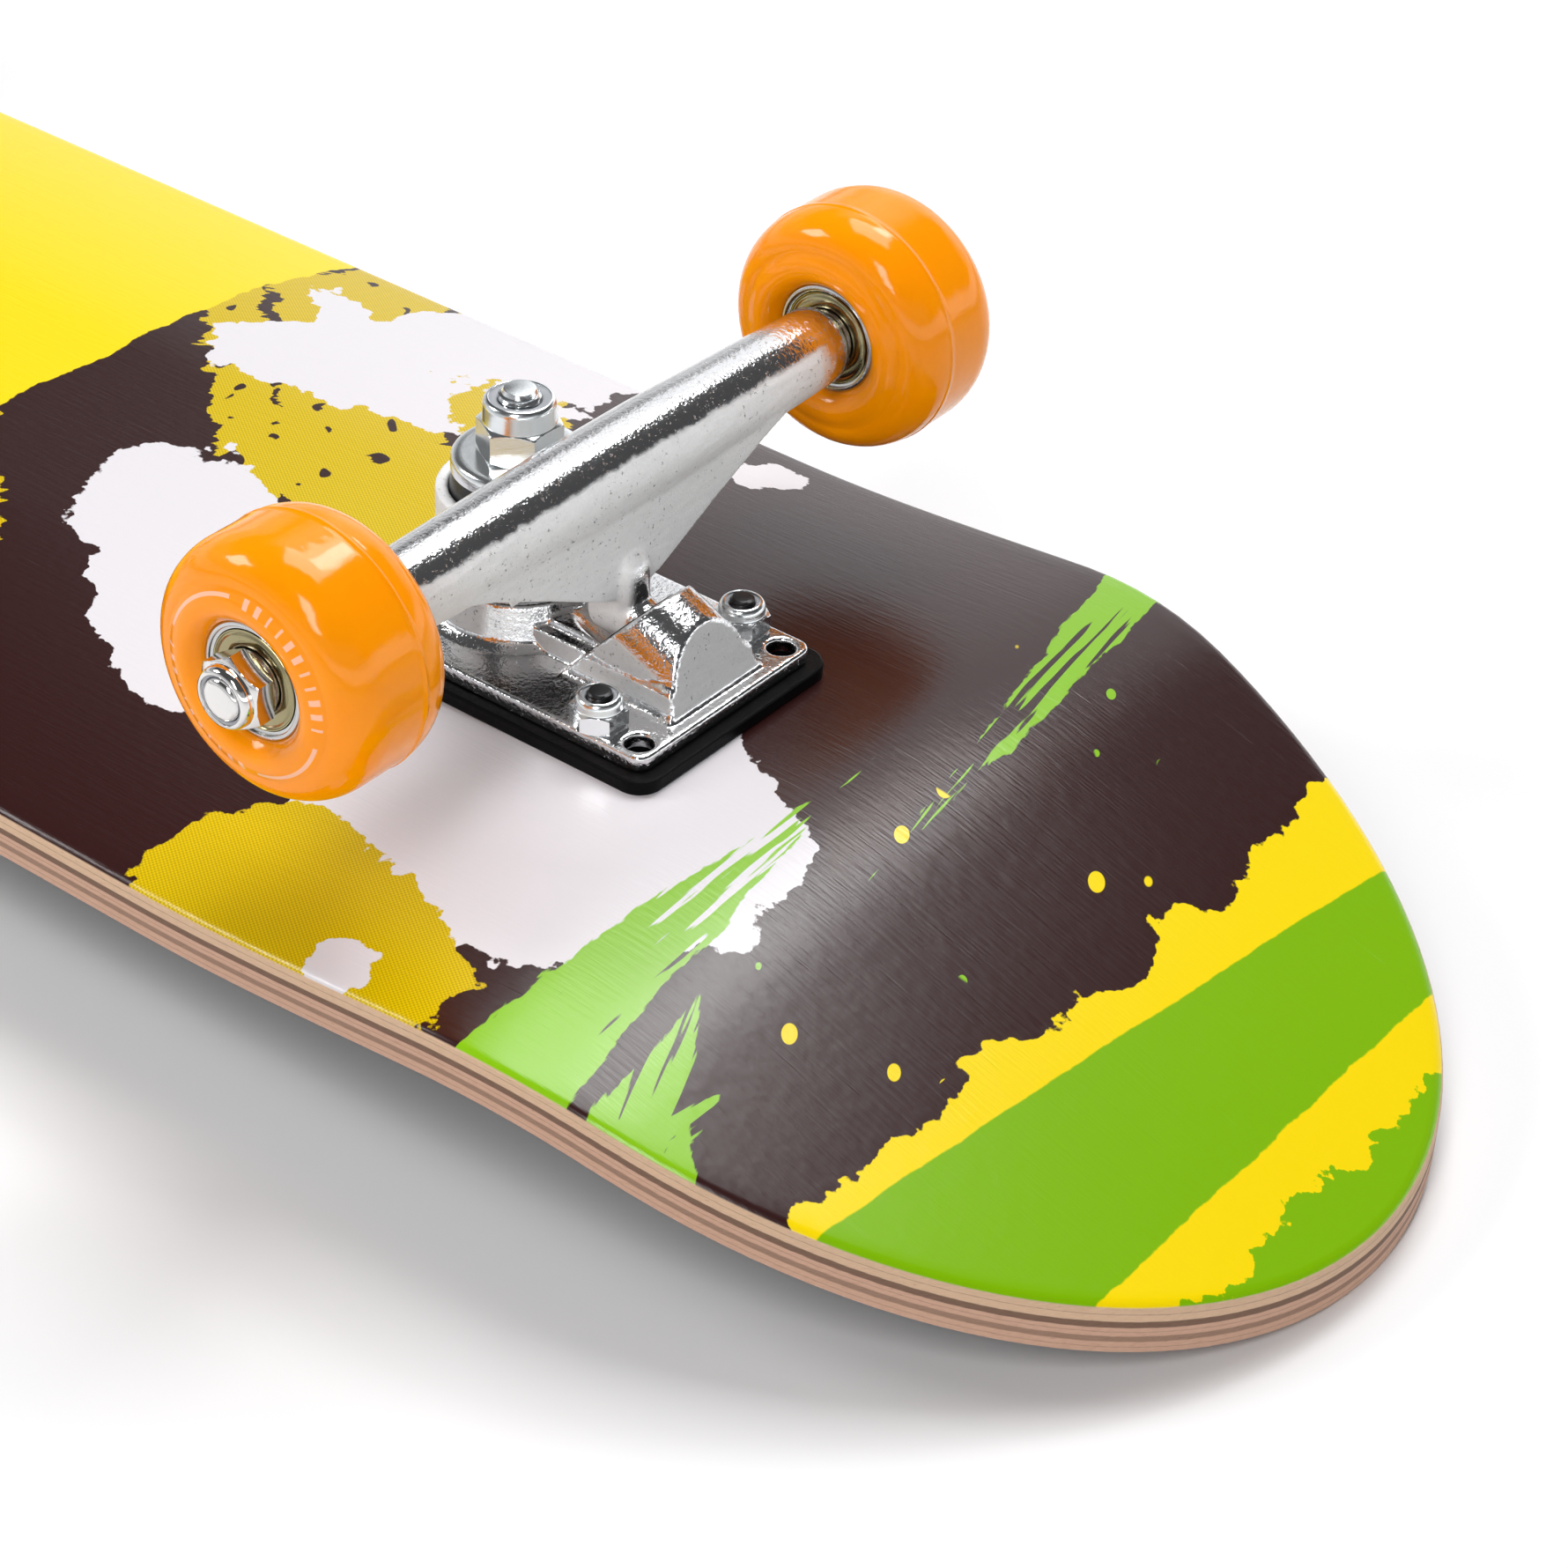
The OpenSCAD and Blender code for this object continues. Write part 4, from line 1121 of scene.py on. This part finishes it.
def bearing_rings(kind, at, sections, material, slot):
    """Rings of the bearings that turn with a wheel, one for each section."""
    names = {"shields": f"bearing_shields_{at}", "races": f"bearing_outer_races_{at}"}
    verts, faces = joined(rings(section, close=True) for section in sections)
    stand(f"{kind}_{at}", verts, faces, centre(f"wheel_{at}"), (0, 1, 0), material,
          f"wheel_{at}", slot, names[kind], sharp=40)


for end in ENDS:
    for side, sign in SIDES.items():
        at = f"{end}_{side}"
        tyre(at, sign)
        covers = [[(r, b + out * d) for r, d in SHIELD] for b in BEARINGS for out in (-1, 1)]
        bearing_rings("shields", at, covers, shield, "shield_metal")
        races = [[(r, b + d) for r, d in RACE] for b in BEARINGS]
        bearing_rings("races", at, races, steel, "bearing_steel")


# ------------------------------------------------------------------ floor, light, camera

FLOOR_REACH = 14


def floor_material():
    g = skin("studio_floor")
    x, y, _ = g.position()
    soft = g.noise(x * 0.004, y * 0.004, 0.0, detail=2.0)
    return g.finish(Base_Color=g.mix(soft, (0.93, 0.93, 0.935), (0.90, 0.90, 0.905)),
                    Roughness=0.55)


corners = [(sx * FLOOR_REACH, sy * FLOOR_REACH, 0)
           for sx, sy in ((-1, -1), (1, -1), (1, 1), (-1, 1))]
floor = piece("floor", corners, [(0, 1, 2, 3)], floor_material(), None, smooth=False)


def softbox(name, where, target, size, power):
    """A rectangular light, with its power in watts, turned towards the target."""
    light = bpy.data.lights.new(name, "AREA")
    light.shape = "RECTANGLE"
    light.size, light.size_y = size
    light.energy = power
    obj = bpy.data.objects.new(name, light)
    obj.location = where
    aim = Vector(target) - Vector(where)
    obj.rotation_euler = aim.to_track_quat("-Z", "Y").to_euler()
    bpy.context.scene.collection.objects.link(obj)


truck = centre("hanger_front")
softbox("key_softbox", truck + Vector((-0.15, 0.38, 0.91)) * 1.4, truck, (0.78, 0.78), 12.5)
softbox("back_softbox", truck + Vector((-0.08, 0.60, 0.79)) * 1.4, truck, (0.28, 0.28), 2.4)
softbox("left_softbox", truck + Vector((-1.0, -0.55, 0.80)), truck, (0.40, 0.40), 6.0)
softbox("front_softbox", truck + Vector((0.40, -0.95, 0.95)), truck, (0.28, 0.75), 7.2)

AWAY = (-0.592, 0.806)  # where the camera looks, seen from above


def studio_world():
    """The studio round the object: a pale wall and an upper panel behind it, a pale strip all
    round at floor level, brighter beyond the nose, and a grey wall on the camera's side. The rest
    is dark, so that bright metal has something dark to reflect."""
    world = bpy.data.worlds.new("studio")
    sky = Graph(world, "ShaderNodeOutputWorld")
    x, y, z = sky.coordinates("Generated")
    behind = (y * AWAY[1] + x * AWAY[0]).above(0.60, 0.30)
    strip = z.below(0.20, 0.07) * (0.9 + x.above(0.35, 0.3) * 1.1)
    wall = behind * z.below(0.42, 0.08) * (0.55 + x.above(-0.58, 0.12) * 0.85)
    panel = behind * x.above(-0.57, 0.16) * x.below(-0.10, 0.14) * z.below(0.74, 0.10) * 1.3
    front = 0.08 + z.below(0.48, 0.14) * y.below(0.10, 0.30) * 0.34
    light = sky.add("ShaderNodeBackground")
    sky.feed(light.inputs["Color"], (0.97, 0.98, 1.0, 1))
    sky.feed(light.inputs["Strength"], strip.high(wall).high(panel).high(front))
    sky.tree.links.new(light.outputs[0], sky.out.inputs[0])
    return world


bpy.context.scene.world = studio_world()

# The camera looks down at the nose-end truck with a long lens.
CAM_AZIMUTH = 36.3
CAM_ELEVATION = 35.5
CAM_ROLL = 2.9
CAM_LENS = 90.5
CAM_OFFSET = Vector((363.6, -471.3, 411.2)) * MM  # from the middle of the spare bolt holes
mounts = {mount["name"]: mount for mount in frame["record"]["mounts"]}
hole_line = Vector((mounts["front_spare_holes"]["pos_m"][0], 0, DECK_TOP))
camera_data = bpy.data.cameras.new("camera")
camera_data.sensor_width = 36
camera_data.lens = CAM_LENS
camera = bpy.data.objects.new("camera", camera_data)
bpy.context.scene.collection.objects.link(camera)
az, el = math.radians(CAM_AZIMUTH), math.radians(CAM_ELEVATION)
back = Vector((math.sin(az) * math.cos(el), -math.cos(az) * math.cos(el), math.sin(el)))
camera.location = hole_line + CAM_OFFSET
right = Vector((math.cos(az), math.sin(az), 0))
level = Matrix((right, back.cross(right), back)).transposed()
camera.rotation_euler = (level @ Matrix.Rotation(math.radians(CAM_ROLL), 3, "Z")).to_euler()
bpy.context.scene.camera = camera
bpy.context.scene.view_settings.view_transform = "Standard"
